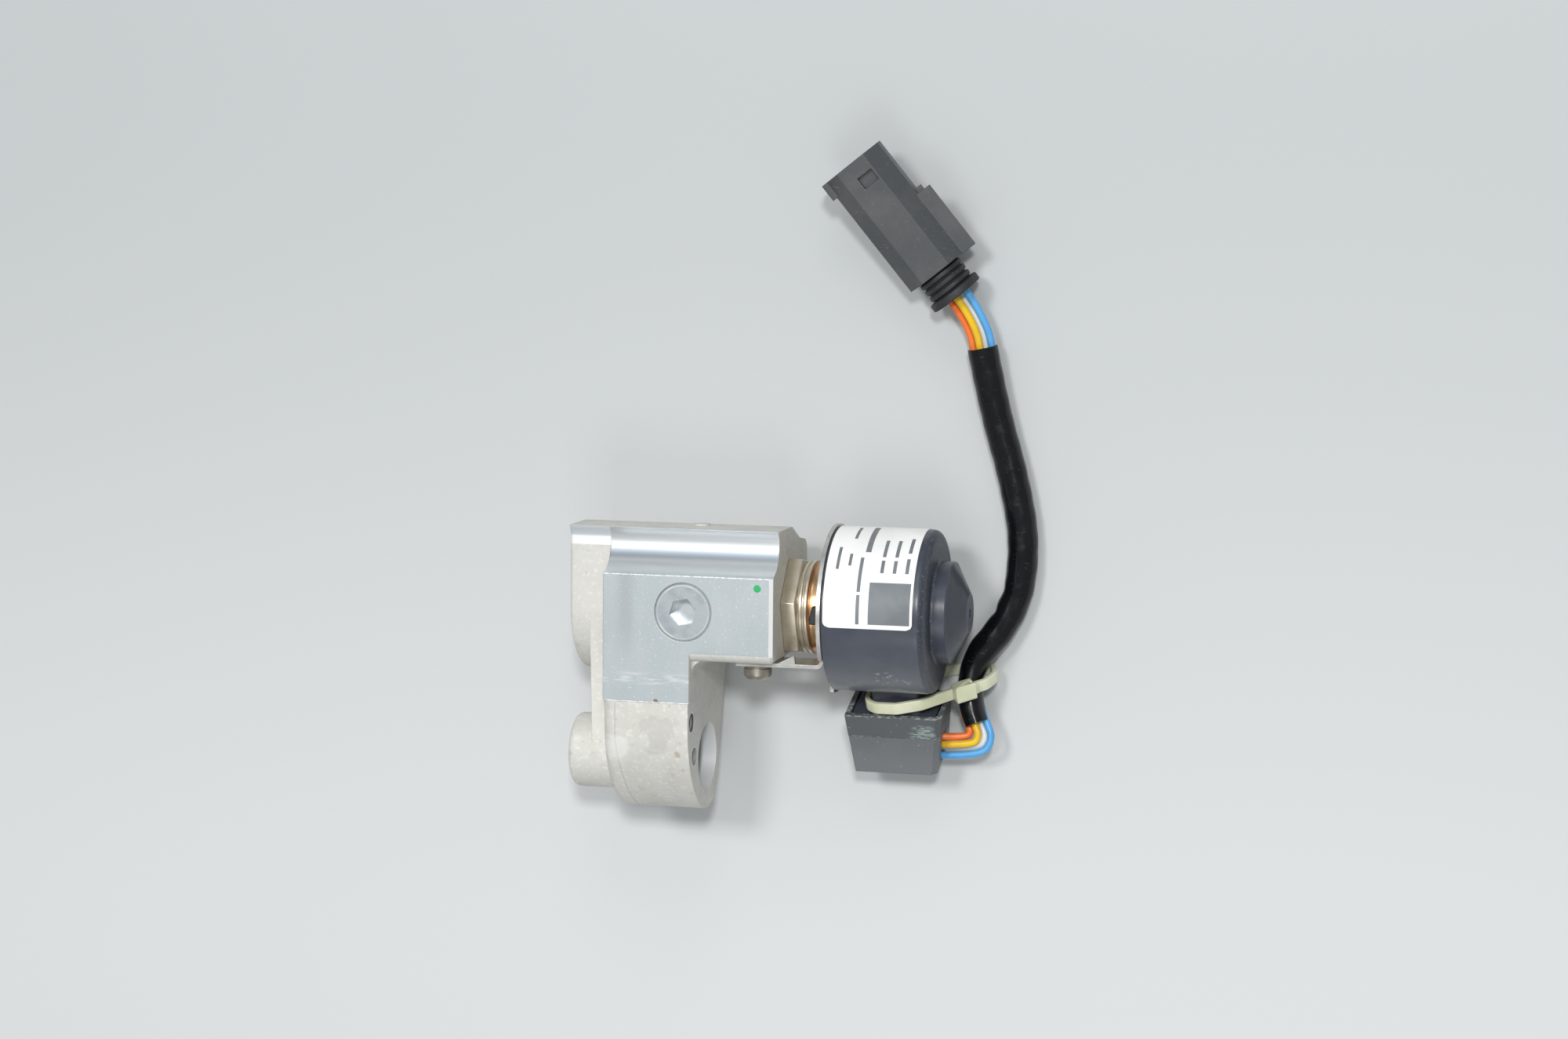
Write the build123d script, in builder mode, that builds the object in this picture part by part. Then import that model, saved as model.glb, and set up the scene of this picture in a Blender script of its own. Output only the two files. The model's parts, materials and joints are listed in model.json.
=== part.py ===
from build123d import *
from math import cos, pi, radians, sin, tan
import os

# Motor-driven expansion valve, lying on its back on a table.
# Millimetres. X runs along the valve's axis towards the coil, Y up the front face, Z out of it.
# The origin is the centre of the lower port's mouth, on the right-hand face of the block's lobe.

os.makedirs("parts", exist_ok=True)

# Driving dimensions: the cast and machined block
axis_y = 31.2               # the valve's axis above the lower port
axis_z = -1.9
face_z = 14.4               # the machined front face
face_left_x = -17.9
face_top_y = 38.5
face_bottom_y = 12.8
face_chamfer = 0.6
arm_end_x = 17.0
arm_bottom_y = 21.3
arm_bottom_round = 2.1
corner_round = 2.6
body_front_z = 9.0          # the cast front behind the machined pad
body_rear_z = -14.4
body_left_x = -22.4
ridge_top_y = 47.35
ridge_front_z = 10.1
ridge_back_z = -1.5
ridge_slope_y = 44.5
ridge_slope_z = -8.0
ridge_corner = 1.3
cove_floor_y = 44.8
lobe_front_z = 15.0
lobe_curve_y = 8.0          # where the lobe's front starts to curve back
lobe_toe = (-9.6, 4.5)      # the lobe's front lower corner
lobe_back_y = 9.0
lobe_round = 2.4
waist_r = 9.0               # the body round the lower bore
boss_left_x = -26.6
boss_y = 30.5
boss_r = 13.95
boss_right_x = -8.0
boss_round = 0.8
lower_boss_r = 7.6
lower_boss_x = -27.6
lower_boss_round = 1.2
nub_r = 1.6
nub_h = 0.35

# Driving dimensions: ports and holes
port_r = 6.9
port_depth = 12.0
upper_port_r = 6.8
upper_port_depth = 11.0
left_port_r = 5.0
left_port_depth = 9.0
passage_r = 3.0
riser_x = -3.4              # the passage from the lower port up to the needle's chamber
riser_r = 2.2
hole_a_y, hole_a_z, hole_a_r, hole_a_depth = 8.7, 12.1, 1.9, 7.0
hole_b_y, hole_b_z, hole_b_r, hole_b_depth = 1.5, 9.9, 1.8, 6.0

# Driving dimensions: the front service plug
plug_x = -1.35
service_plug_r = 5.85
service_plug_length = 7.0
service_plug_chamfer = 0.35
service_socket_af = 5.0
service_socket_depth = 3.2
service_seal_wire_r = 0.7
fit_gap = 0.05

# Driving dimensions: cartridge, can and moving parts
thread_r = 8.0
thread_length = 10.5
chamber_r = 6.0
chamber_left_x = -6.0
seat_thickness = 4.0
seat_r = 4.0
orifice_r = 1.3
seat_chamfer = 0.5
hex_af = 18.6
hex_thickness = 1.7
hex_turn = 20.0
collar_r = 9.5
collar_thickness = 2.1
cartridge_bore_r = 4.6
cartridge_nose_r = 5.95
cartridge_nose_length = 4.0
seal_wire_r = 0.75
can_r = 9.1
can_wall = 0.35
can_end_x = 48.4
can_end_round = 2.0
guide_r = 4.5
guide_length = 17.0
guide_flange_r = 7.4
guide_flange = 0.8
screw_r = 2.0
running_gap = 0.1
needle_r = 1.6
needle_tip_r = 0.35
needle_head_r = 2.3
holder_r = 3.4
holder_length = 9.0
spring_wire_r = 0.25
spring_turns = 5
magnet_r = 8.3
magnet_bore_r = 5.3
magnet_length = 16.0
magnet_left_x = 24.6
hub_thickness = 3.0
stroke = 2.5

# Driving dimensions: the coil, its bracket and screw
coil_r = 16.5
sheet = 0.8
disc_left_x = 25.9
disc_r = coil_r + 0.5
disc_hole_r = 9.6
coil_end_x = 47.3
coil_round = 2.0
coil_wall = 1.3
coil_bore_r = 9.35
nose_r = 10.25
nose_shoulder_x = 50.3
nose_tip_x = 53.6
nose_tip_r = 3.9
nose_hole_r = 0.9
nose_hole_depth = 1.0
yoke_wall = 0.9
winding_gap = 0.25
foot_left_x = 8.8
foot_front_z = 11.2
foot_width = 9.0
foot_fold_r = 1.2
foot_relief = 0.5
screw_x = 12.2
screw_shank_r = 1.45
screw_length = 5.4
screw_head_r = 2.85
screw_head_h = 2.4
washer_h = 0.9
washer_r = 2.55

# Driving dimensions: the terminal box under the coil, swung back from the vertical
box_swing = 19.0
box_mid_x = 37.85
box_near = 21.05            # from the valve's axis to the open edge
box_far = 34.0
box_width = 19.9
box_far_width = 16.8
box_depth = 12.5
box_wall = 1.0
box_chamfer = 1.2
box_band = 4.7
slot_near = 26.9            # the wires' slot in the box, from the valve's axis
slot_width = 4.4
slot_length = 5.0
neck_width = 9.8
neck_depth = 9.0
neck_front = 4.3
base_inset = 0.3
base_thickness = 4.0
wire_r = 0.75

# Driving dimensions: sleeve, tie and plug
sleeve_r = 3.1
tie_width = 2.4
tie_thickness = 1.1
tie_tilt = 5.0
tie_distance = 19.2
tie_round = 1.6
tie_head_along, tie_head_front, tie_head_turn = 13.8, 0.15, -34.0
tie_head_length, tie_head_depth, tie_head_reach = 4.4, 3.0, 1.1
plug_width = 13.3
plug_height = 10.6
plug_facet = 3.3
plug_body_start = 6.3
plug_length = 34.0
plug_wall = 1.2
plug_socket_depth = 16.0
boot_flange_r = 5.7
boot_rib_r = 4.9
boot_root_r = 4.2
boot_rib_pitch = 1.5
rail_start = 13.0
rail_length = 14.9
rail_reach = 2.9
rail_thickness = 1.2
rail_lift = 1.6
rib_reach = 1.4
rib_lead = 1.1
pad_length = 3.7
pad_reach = 0.9
pad_width = 5.0
window_from_mouth = 3.2
window_length = 2.6
window_width = 3.4
window_shift = 1.2
pin_size = 0.64
pin_pitch = 2.5
plug_pin_pitch = 3.4
plug_pin_length = 9.0
wire_spread = 1.9
wire_lift = 0.95
label_thickness = 0.12
label_top_angle = 100.0     # round the coil from the front, towards the top
label_low_angle = -6.0

# Values worked out from the driving dimensions
coil_left_x = disc_left_x + sheet
floor_z = axis_z - disc_r
boss_z = floor_z + boss_r       # the upper boss rests on the table too
hex_right_x = arm_end_x + hex_thickness
collar_right_x = hex_right_x + collar_thickness
thread_left_x = arm_end_x - thread_length
seat_left_x = chamber_left_x - seat_thickness
axis_plane = Plane(origin=(0, axis_y, axis_z), x_dir=(1, 0, 0), z_dir=(0, 0, 1))
valve_axis = Axis((0, axis_y, axis_z), (1, 0, 0))
swing_cos, swing_sin = cos(radians(box_swing)), sin(radians(box_swing))
box_out = Vector(0, -swing_cos, -swing_sin)
box_front = Vector(0, -swing_sin, swing_cos)
axis_point = Vector(0, axis_y, axis_z)
box_plane = Plane(origin=axis_point, x_dir=(1, 0, 0), z_dir=box_out)


def across(x):
    """The plane across the valve at x, its sketch axes along Y and Z."""
    return Plane.YZ.offset(x)


def valve_section(x):
    """The plane across the valve at x, centred on the valve's axis."""
    return Plane(origin=(x, axis_y, axis_z), x_dir=(0, 1, 0), z_dir=(1, 0, 0))


def turned(profile, plane=axis_plane, axis=valve_axis):
    """A piece turned about an axis from its half section of (along, radius) points."""
    with BuildPart() as piece:
        with BuildSketch(plane):
            with BuildLine():
                Polyline(*profile, close=True)
            make_face()
        revolve(axis=axis)
    return piece


def ring(wire_r, mid_r, x, plane=axis_plane, axis=valve_axis):
    """A round seal turned about an axis."""
    with BuildPart() as piece:
        with BuildSketch(plane):
            with Locations((x, mid_r)):
                Circle(wire_r)
        revolve(axis=axis)
    return piece


def box_point(x, out, front):
    """A point by its place along the axis, its distance out from it and its place in depth."""
    return Vector(x, axis_y, axis_z) + box_out * out + box_front * front


def route_radii(points):
    """Each arc is as large as its two runs allow."""
    radii = []
    for before, here, after in zip(points, points[1:], points[2:]):
        run_in, run_out = here - before, after - here
        turn = radians(run_in.get_angle(run_out))
        radii.append(0.45 * min(run_in.length, run_out.length) / tan(turn / 2))
    return radii


def tube(points, radius, label):
    """A tube of straight runs joined by tangent arcs, with its radii and length printed."""
    radii = route_radii(points)
    start = Plane(origin=points[0], z_dir=points[1] - points[0])
    with BuildPart() as piece:
        with BuildLine() as route:
            if len(radii) > 0:
                FilletPolyline(*points, radius=radii)
            else:
                Line(*points)
        with BuildSketch(start):
            Circle(radius)
        sweep()
    length = sum(edge.length for edge in route.edges())
    print(label, "radii", [round(r, 1) for r in radii], "length", round(length, 1),
          "volume ratio", round(piece.part.volume / (pi * radius ** 2 * length), 4))
    return piece


def save(piece, label):
    """Name a finished piece and write it."""
    piece.part.label = label
    export_step(piece.part, "parts/" + label + ".step")


# Valve block: one casting with a machined front pad, a cove, ports and threads
cove_start = (face_top_y, face_z)
cove_floor = (cove_floor_y, body_front_z)
cove_end = (ridge_top_y, ridge_front_z)
cove_rise = face_z - body_front_z
cove_run = cove_floor_y - face_top_y
cove_r = (cove_rise ** 2 + cove_run ** 2) / (2 * cove_rise)
cove_end_run = ridge_top_y - cove_floor_y
cove_end_rise = ridge_front_z - body_front_z
cove_end_r = (cove_end_rise ** 2 + cove_end_run ** 2) / (2 * cove_end_rise)
seat_bore_left = seat_left_x - 1.0
pad_depth = face_z - body_front_z

# The lobe round the lower port, its front curving down under the pad
with BuildPart() as lobe:
    with BuildSketch(across(face_left_x)):
        with BuildLine():
            Polyline((lobe_back_y, -waist_r), (face_bottom_y, 0), (face_bottom_y, lobe_front_z),
                     (lobe_curve_y, lobe_front_z))
            front_arc = TangentArc((lobe_curve_y, lobe_front_z), lobe_toe, tangent=(-1, 0))
            low_arc = TangentArc(lobe_toe, (lobe_toe[0] + 0.4, -lobe_toe[1] - 1.1),
                                 tangent=front_arc % 1)
            Polyline(low_arc @ 1, (0, -waist_r), (lobe_back_y, -waist_r))
        make_face()
    extrude(amount=-face_left_x)
    left_rim = lobe.edges().filter_by(lambda e: abs(e.center().X - face_left_x) < 0.1
                                      and e.center().Y < face_bottom_y - 1.0)
    fillet(left_rim.filter_by(GeomType.CIRCLE), radius=lobe_round)

with BuildPart() as valve_block:
    # The ridge and arm, with the cove swept along the top of the pad
    with BuildSketch(across(face_left_x)):
        with BuildLine():
            Line((arm_bottom_y, body_rear_z), (arm_bottom_y, face_z))
            Line((arm_bottom_y, face_z), cove_start)
            RadiusArc(cove_start, cove_floor, -cove_r)
            RadiusArc(cove_floor, cove_end, -cove_end_r)
            Polyline(cove_end, (ridge_top_y, ridge_back_z), (ridge_slope_y, ridge_slope_z),
                     (ridge_slope_y - 0.8, body_rear_z + ridge_corner),
                     (ridge_slope_y - 0.8 - ridge_corner, body_rear_z), (arm_bottom_y, body_rear_z))
        make_face()
    extrude(amount=arm_end_x - face_left_x)
    # The ridge's left end, with no pad in front
    with BuildSketch(across(boss_left_x)):
        with BuildLine():
            Line((boss_y, body_rear_z), (boss_y, body_front_z))
            Line((boss_y, body_front_z), cove_floor)
            RadiusArc(cove_floor, cove_end, -cove_end_r)
            Polyline(cove_end, (ridge_top_y, ridge_back_z), (ridge_slope_y, ridge_slope_z),
                     (ridge_slope_y - 0.8, body_rear_z + ridge_corner),
                     (ridge_slope_y - 0.8 - ridge_corner, body_rear_z), (boss_y, body_rear_z))
        make_face()
    extrude(amount=face_left_x - boss_left_x)
    # The round boss of the upper port
    with BuildSketch(across(boss_left_x)):
        with Locations((boss_y, boss_z)):
            Circle(boss_r)
    extrude(amount=boss_right_x - boss_left_x)
    # The body between the upper boss and the lower bore
    strip_r = lower_boss_r - 0.6
    with BuildSketch(across(body_left_x)):
        with BuildLine():
            Polyline((0, strip_r), (boss_y, body_front_z), (boss_y, body_rear_z),
                     (arm_bottom_y - 2.0, body_rear_z), (0, -strip_r), close=True)
        make_face()
    extrude(amount=face_left_x - body_left_x)
    with BuildSketch(across(face_left_x)):
        with BuildLine():
            Polyline((0, waist_r), (boss_y, body_front_z), (boss_y, body_rear_z),
                     (arm_bottom_y - 2.0, body_rear_z), (0, -waist_r))
            ThreePointArc((0, -waist_r), (-waist_r, 0), (0, waist_r))
        make_face()
    extrude(amount=-face_left_x)
    # The lobe and the foot of the pad
    add(lobe.part)
    with BuildSketch(across(face_left_x)):
        with Locations(((face_bottom_y + arm_bottom_y) / 2, (body_front_z + face_z) / 2)):
            Rectangle(arm_bottom_y - face_bottom_y, pad_depth)
    extrude(amount=-face_left_x)
    # The lower boss, in line with the lower bore
    with BuildSketch(across(lower_boss_x)):
        Circle(lower_boss_r)
    extrude(amount=face_left_x - lower_boss_x)

    # Rounds of the casting
    def block_edges(low, high, axis):
        """The block's straight edges along an axis whose middle lies between two corners."""
        chosen = ShapeList()
        for edge in valve_block.edges().filter_by(axis):
            mid = edge.center()
            if all(a - 0.2 <= v <= b + 0.2 for a, v, b in zip(low, mid, high)):
                chosen.append(edge)
        return chosen

    lower_rim = valve_block.edges().filter_by(
        lambda e: abs(e.center().X - lower_boss_x) < 0.05).filter_by(GeomType.CIRCLE)
    fillet(lower_rim, radius=lower_boss_round)
    boss_rim = valve_block.edges().filter_by(
        lambda e: abs(e.center().X - boss_left_x) < 0.05 and e.center().Y < cove_floor_y)
    fillet(boss_rim, radius=boss_round)
    fillet(block_edges((0, arm_bottom_y, face_z), (arm_end_x, arm_bottom_y, face_z), Axis.X),
           radius=arm_bottom_round)
    end_edge = valve_block.edges().filter_by(Axis.Y).filter_by(
        lambda e: abs(e.center().Z - face_z) < 0.1 and abs(e.center().X - arm_end_x) < 0.1)
    chamfer(end_edge, length=face_chamfer)

    # The round inner corner under the arm, behind the arm's rounded edge
    with BuildSketch(Plane.XY.offset(body_rear_z)):
        with BuildLine():
            Polyline((0, arm_bottom_y - corner_round), (0, arm_bottom_y), (corner_round, arm_bottom_y))
            RadiusArc((corner_round, arm_bottom_y), (0, arm_bottom_y - corner_round), -corner_round)
        make_face()
    extrude(amount=face_z - arm_bottom_round - body_rear_z)

    # Ports, passages and threads
    with Locations(across(0)):
        Hole(radius=port_r, depth=port_depth)
    with BuildSketch(across(lower_boss_x)):
        Circle(left_port_r)
    extrude(amount=left_port_depth, mode=Mode.SUBTRACT)
    with BuildSketch(across(lower_boss_x + left_port_depth)):
        Circle(passage_r)
    extrude(amount=-lower_boss_x - left_port_depth - port_depth + 1.0, mode=Mode.SUBTRACT)
    with BuildSketch(Plane(origin=(riser_x, 0, axis_z), x_dir=(1, 0, 0), z_dir=(0, 1, 0))):
        Circle(riser_r)
    extrude(amount=axis_y, mode=Mode.SUBTRACT)
    with BuildSketch(Plane(origin=(boss_left_x, boss_y, boss_z), x_dir=(0, 1, 0),
                           z_dir=(1, 0, 0))):
        Circle(upper_port_r)
    extrude(amount=upper_port_depth, mode=Mode.SUBTRACT)
    with BuildSketch(valve_section(boss_left_x + upper_port_depth - 0.5)):
        Circle(passage_r)
    extrude(amount=seat_left_x - boss_left_x - upper_port_depth + 1.0, mode=Mode.SUBTRACT)
    with BuildSketch(valve_section(seat_left_x)):
        Circle(seat_r + fit_gap)
    extrude(amount=seat_thickness, mode=Mode.SUBTRACT)
    with BuildSketch(valve_section(chamber_left_x)):
        Circle(chamber_r)
    extrude(amount=arm_end_x - chamber_left_x, mode=Mode.SUBTRACT)
    with BuildSketch(valve_section(thread_left_x)):
        Circle(thread_r)
    extrude(amount=thread_length, mode=Mode.SUBTRACT)
    with BuildSketch(Plane(origin=(plug_x, axis_y, face_z), x_dir=(1, 0, 0), z_dir=(0, 0, 1))):
        Circle(service_plug_r + fit_gap)
    extrude(amount=-service_plug_length - 0.6, mode=Mode.SUBTRACT)
    with BuildSketch(Plane(origin=(plug_x, axis_y, face_z), x_dir=(1, 0, 0), z_dir=(0, 0, 1))):
        Circle(passage_r)
    extrude(amount=axis_z - face_z, mode=Mode.SUBTRACT)
    for hole_y, hole_z, hole_r, hole_depth in ((hole_a_y, hole_a_z, hole_a_r, hole_a_depth),
                                               (hole_b_y, hole_b_z, hole_b_r, hole_b_depth)):
        with BuildSketch(across(0)):
            with Locations((hole_y, hole_z)):
                Circle(hole_r)
        extrude(amount=-hole_depth, mode=Mode.SUBTRACT)
    with BuildSketch(Plane(origin=(screw_x, arm_bottom_y, foot_front_z - foot_width / 2),
                           x_dir=(1, 0, 0), z_dir=(0, 1, 0))):
        Circle(screw_shank_r + fit_gap)
    extrude(amount=screw_length - sheet - washer_h + 0.3, mode=Mode.SUBTRACT)
    # Marks of the ejector pins
    with BuildSketch(Plane(origin=(-1.0, ridge_top_y, 1.5), x_dir=(1, 0, 0), z_dir=(0, 1, 0))):
        Circle(nub_r)
    extrude(amount=nub_h)
save(valve_block, "valve_block")

# Service plug on the front face, with its hexagon socket and seal
service_axis = Axis((plug_x, axis_y, 0), (0, 0, 1))
service_plane = Plane(origin=(plug_x, axis_y, 0), x_dir=(0, 0, 1), z_dir=(0, -1, 0))
service_base_z = face_z - service_plug_length
service_groove = 2.2 * service_seal_wire_r
with BuildPart() as service_plug:
    with BuildSketch(service_plane):
        with BuildLine():
            Polyline((service_base_z, 0), (service_base_z, service_plug_r - 1.0),
                     (service_base_z + 0.5, service_plug_r - service_groove),
                     (service_base_z + 0.5 + service_groove, service_plug_r - service_groove),
                     (service_base_z + 0.5 + service_groove, service_plug_r),
                     (face_z - service_plug_chamfer, service_plug_r),
                     (face_z, service_plug_r - service_plug_chamfer), (face_z, 0), close=True)
        make_face()
    revolve(axis=service_axis)
    with BuildSketch(Plane.XY.offset(face_z)):
        with Locations((plug_x, axis_y)):
            RegularPolygon(service_socket_af / 2, 6, major_radius=False, rotation=12)
    extrude(amount=-service_socket_depth, mode=Mode.SUBTRACT)
save(service_plug, "service_plug")
service_seal = ring(service_seal_wire_r, service_plug_r - service_seal_wire_r,
                    service_base_z + 0.5 + service_groove / 2, service_plane, service_axis)
save(service_seal, "service_plug_seal")

# Valve seat, pressed into the end of the chamber
valve_seat = turned([(seat_left_x, orifice_r), (seat_left_x, seat_r), (chamber_left_x, seat_r),
                     (chamber_left_x, orifice_r + seat_chamfer),
                     (chamber_left_x - seat_chamfer, orifice_r)])
save(valve_seat, "valve_seat")

# Cartridge body: thread, nose with a seal groove, hexagon and collar
nose_left_x = thread_left_x - cartridge_nose_length
groove_left = nose_left_x + 1.0
groove_right = groove_left + 2.2 * seal_wire_r
groove_r = cartridge_nose_r - 2 * seal_wire_r
with BuildPart() as cartridge_body:
    with BuildSketch(axis_plane):
        with BuildLine():
            Polyline((nose_left_x, 3.9), (nose_left_x, cartridge_nose_r - 0.4),
                     (nose_left_x + 0.4, cartridge_nose_r), (groove_left, cartridge_nose_r),
                     (groove_left, groove_r), (groove_right, groove_r),
                     (groove_right, cartridge_nose_r), (thread_left_x, cartridge_nose_r),
                     (thread_left_x, thread_r - fit_gap - 0.6),
                     (thread_left_x + 0.6, thread_r - fit_gap), (arm_end_x, thread_r - fit_gap),
                     (arm_end_x, collar_r - 0.5), (hex_right_x, collar_r - 0.5),
                     (hex_right_x, collar_r), (collar_right_x - 0.4, collar_r),
                     (collar_right_x, collar_r - 0.4), (collar_right_x, guide_flange_r + fit_gap),
                     (collar_right_x - guide_flange, guide_flange_r + fit_gap),
                     (collar_right_x - guide_flange, cartridge_bore_r),
                     (nose_left_x + 3.0, cartridge_bore_r), (nose_left_x + 3.0, 3.9), close=True)
        make_face()
    revolve(axis=valve_axis)
    with BuildSketch(valve_section(arm_end_x)):
        RegularPolygon(hex_af / 2, 6, major_radius=False, rotation=hex_turn)
        Circle(thread_r - 1.0, mode=Mode.SUBTRACT)
    extrude(amount=hex_thickness)
save(cartridge_body, "cartridge_body")
cartridge_seal = ring(seal_wire_r, cartridge_nose_r - seal_wire_r,
                      (groove_left + groove_right) / 2)
save(cartridge_seal, "cartridge_seal")

# Rotor can: a thin deep-drawn cup welded to the collar
with BuildPart() as rotor_can:
    with BuildSketch(axis_plane):
        with BuildLine():
            Polyline((collar_right_x, can_r - can_wall), (collar_right_x, can_r),
                     (can_end_x - can_end_round, can_r))
            TangentArc((can_end_x - can_end_round, can_r), (can_end_x, can_r - can_end_round),
                       tangent=(1, 0))
            Polyline((can_end_x, can_r - can_end_round), (can_end_x, 0),
                     (can_end_x - can_wall, 0), (can_end_x - can_wall, can_r - can_end_round))
            TangentArc((can_end_x - can_wall, can_r - can_end_round),
                       (can_end_x - can_end_round, can_r - can_wall), tangent=(0, 1))
            Line((can_end_x - can_end_round, can_r - can_wall), (collar_right_x, can_r - can_wall))
        make_face()
    revolve(axis=valve_axis)
save(rotor_can, "rotor_can")

# Guide nut: fixed in the cartridge, it carries the lead screw's thread
guide_left_x = collar_right_x - guide_length / 2
guide_right_x = guide_left_x + guide_length
guide_nut = turned([(guide_left_x, screw_r + running_gap), (guide_left_x, guide_r),
                    (collar_right_x - guide_flange, guide_r),
                    (collar_right_x - guide_flange, guide_flange_r),
                    (collar_right_x, guide_flange_r), (collar_right_x, guide_r),
                    (guide_right_x, guide_r), (guide_right_x, screw_r + running_gap)])
save(guide_nut, "guide_nut")

# Needle: it slides along the axis and closes the seat at rest
holder_left_x = guide_left_x - stroke - 1.0 - holder_length
needle_head_x = holder_left_x + 1.2
needle = turned([(chamber_left_x - 1.6, 0), (chamber_left_x - 1.6, needle_tip_r),
                 (chamber_left_x - seat_chamfer, orifice_r - fit_gap),
                 (chamber_left_x + 0.6, needle_r), (needle_head_x, needle_r),
                 (needle_head_x, needle_head_r), (needle_head_x + 1.2, needle_head_r),
                 (needle_head_x + 1.2, 0)])
save(needle, "needle")

# Needle holder: a crimped cup on the end of the lead screw
holder_bore_r = needle_head_r + 0.35
holder_right_x = holder_left_x + holder_length
with BuildPart() as needle_holder:
    add(turned([(holder_left_x, needle_r + 0.35), (holder_left_x, holder_r),
                (holder_right_x, holder_r), (holder_right_x, screw_r),
                (holder_right_x - 1.0, screw_r), (holder_right_x - 1.0, holder_bore_r),
                (holder_left_x + 0.8, holder_bore_r), (holder_left_x + 0.8, needle_r + 0.35)]).part)
save(needle_holder, "needle_holder")

# Buffer spring between the needle's head and the lead screw
spring_left_x = needle_head_x + 1.2 + spring_wire_r + 0.02
screw_left_x = holder_right_x - 1.0
spring_right_x = screw_left_x - spring_wire_r - 0.32
spring_mid_r = holder_bore_r - spring_wire_r - 0.3
with BuildPart() as buffer_spring:
    with BuildLine() as coil_line:
        Helix(pitch=(spring_right_x - spring_left_x) / spring_turns,
              height=spring_right_x - spring_left_x, radius=spring_mid_r,
              center=(spring_left_x, axis_y, axis_z), direction=(1, 0, 0))
    with BuildSketch(Plane(origin=coil_line.line @ 0, z_dir=coil_line.line % 0)):
        Circle(spring_wire_r)
    sweep(is_frenet=True)
save(buffer_spring, "buffer_spring")

# Lead screw, rotor hub and magnet: they turn together in the can
magnet_right_x = magnet_left_x + magnet_length
hub_left_x = magnet_right_x - hub_thickness
lead_screw = turned([(screw_left_x, 0), (screw_left_x, screw_r), (magnet_right_x + 1.0, screw_r),
                     (magnet_right_x + 1.5, screw_r - 0.5), (magnet_right_x + 1.5, 0)])
save(lead_screw, "lead_screw")
rotor_hub = turned([(hub_left_x, screw_r), (hub_left_x, magnet_bore_r),
                    (magnet_right_x, magnet_bore_r), (magnet_right_x, screw_r)])
save(rotor_hub, "rotor_hub")
rotor_magnet = turned([(magnet_left_x, magnet_bore_r), (magnet_left_x, magnet_r - 0.4),
                       (magnet_left_x + 0.4, magnet_r), (magnet_right_x - 0.4, magnet_r),
                       (magnet_right_x, magnet_r - 0.4), (magnet_right_x, magnet_bore_r)])
save(rotor_magnet, "rotor_magnet")

# Stator: two steel cups back to back, each with its winding
yoke_left_x = coil_left_x
yoke_right_x = coil_end_x - coil_round - 0.4
yoke_mid_x = (yoke_left_x + yoke_right_x) / 2
yoke_r = coil_r - coil_wall
rim_r = coil_r - 0.3
yoke_in = coil_bore_r + yoke_wall


def yoke(near_x, far_x, plate_r):
    """A cup yoke: a plate at near_x, with an inner and an outer wall up to far_x."""
    wall = yoke_wall if far_x > near_x else -yoke_wall
    rim = [(near_x, plate_r), (near_x + wall, plate_r)] if plate_r > yoke_r else [(near_x, yoke_r)]
    step = [(near_x + wall, yoke_r)] if plate_r > yoke_r else []
    return turned([(near_x, coil_bore_r)] + rim + step
                  + [(far_x, yoke_r), (far_x, yoke_r - yoke_wall),
                     (near_x + wall, yoke_r - yoke_wall), (near_x + wall, yoke_in),
                     (far_x, yoke_in), (far_x, coil_bore_r)])


def winding(left_x, right_x):
    """A wound bobbin that fills a cup yoke."""
    return turned([(left_x + winding_gap, yoke_in + winding_gap),
                   (left_x + winding_gap, yoke_r - yoke_wall - winding_gap),
                   (right_x - winding_gap, yoke_r - yoke_wall - winding_gap),
                   (right_x - winding_gap, yoke_in + winding_gap)])


stator_yoke_left = yoke(yoke_left_x, yoke_mid_x - 0.02, rim_r)
save(stator_yoke_left, "stator_yoke_left")
stator_yoke_right = yoke(yoke_right_x, yoke_mid_x + 0.02, yoke_r)
save(stator_yoke_right, "stator_yoke_right")
winding_left = winding(yoke_left_x + yoke_wall, yoke_mid_x)
save(winding_left, "winding_left")
winding_right = winding(yoke_mid_x, yoke_right_x - yoke_wall)
save(winding_right, "winding_right")

# Coil housing: one moulding with its nose, neck and terminal base
plate_gap = 0.05
base_near = box_near + 0.25
base_far = base_near + base_thickness
box_taper = (box_width - box_far_width) / 2 / (box_far - box_near)


def box_width_at(out):
    """The box's outer width at a distance out from the axis."""
    return box_width - 2 * box_taper * (out - box_near)


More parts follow.
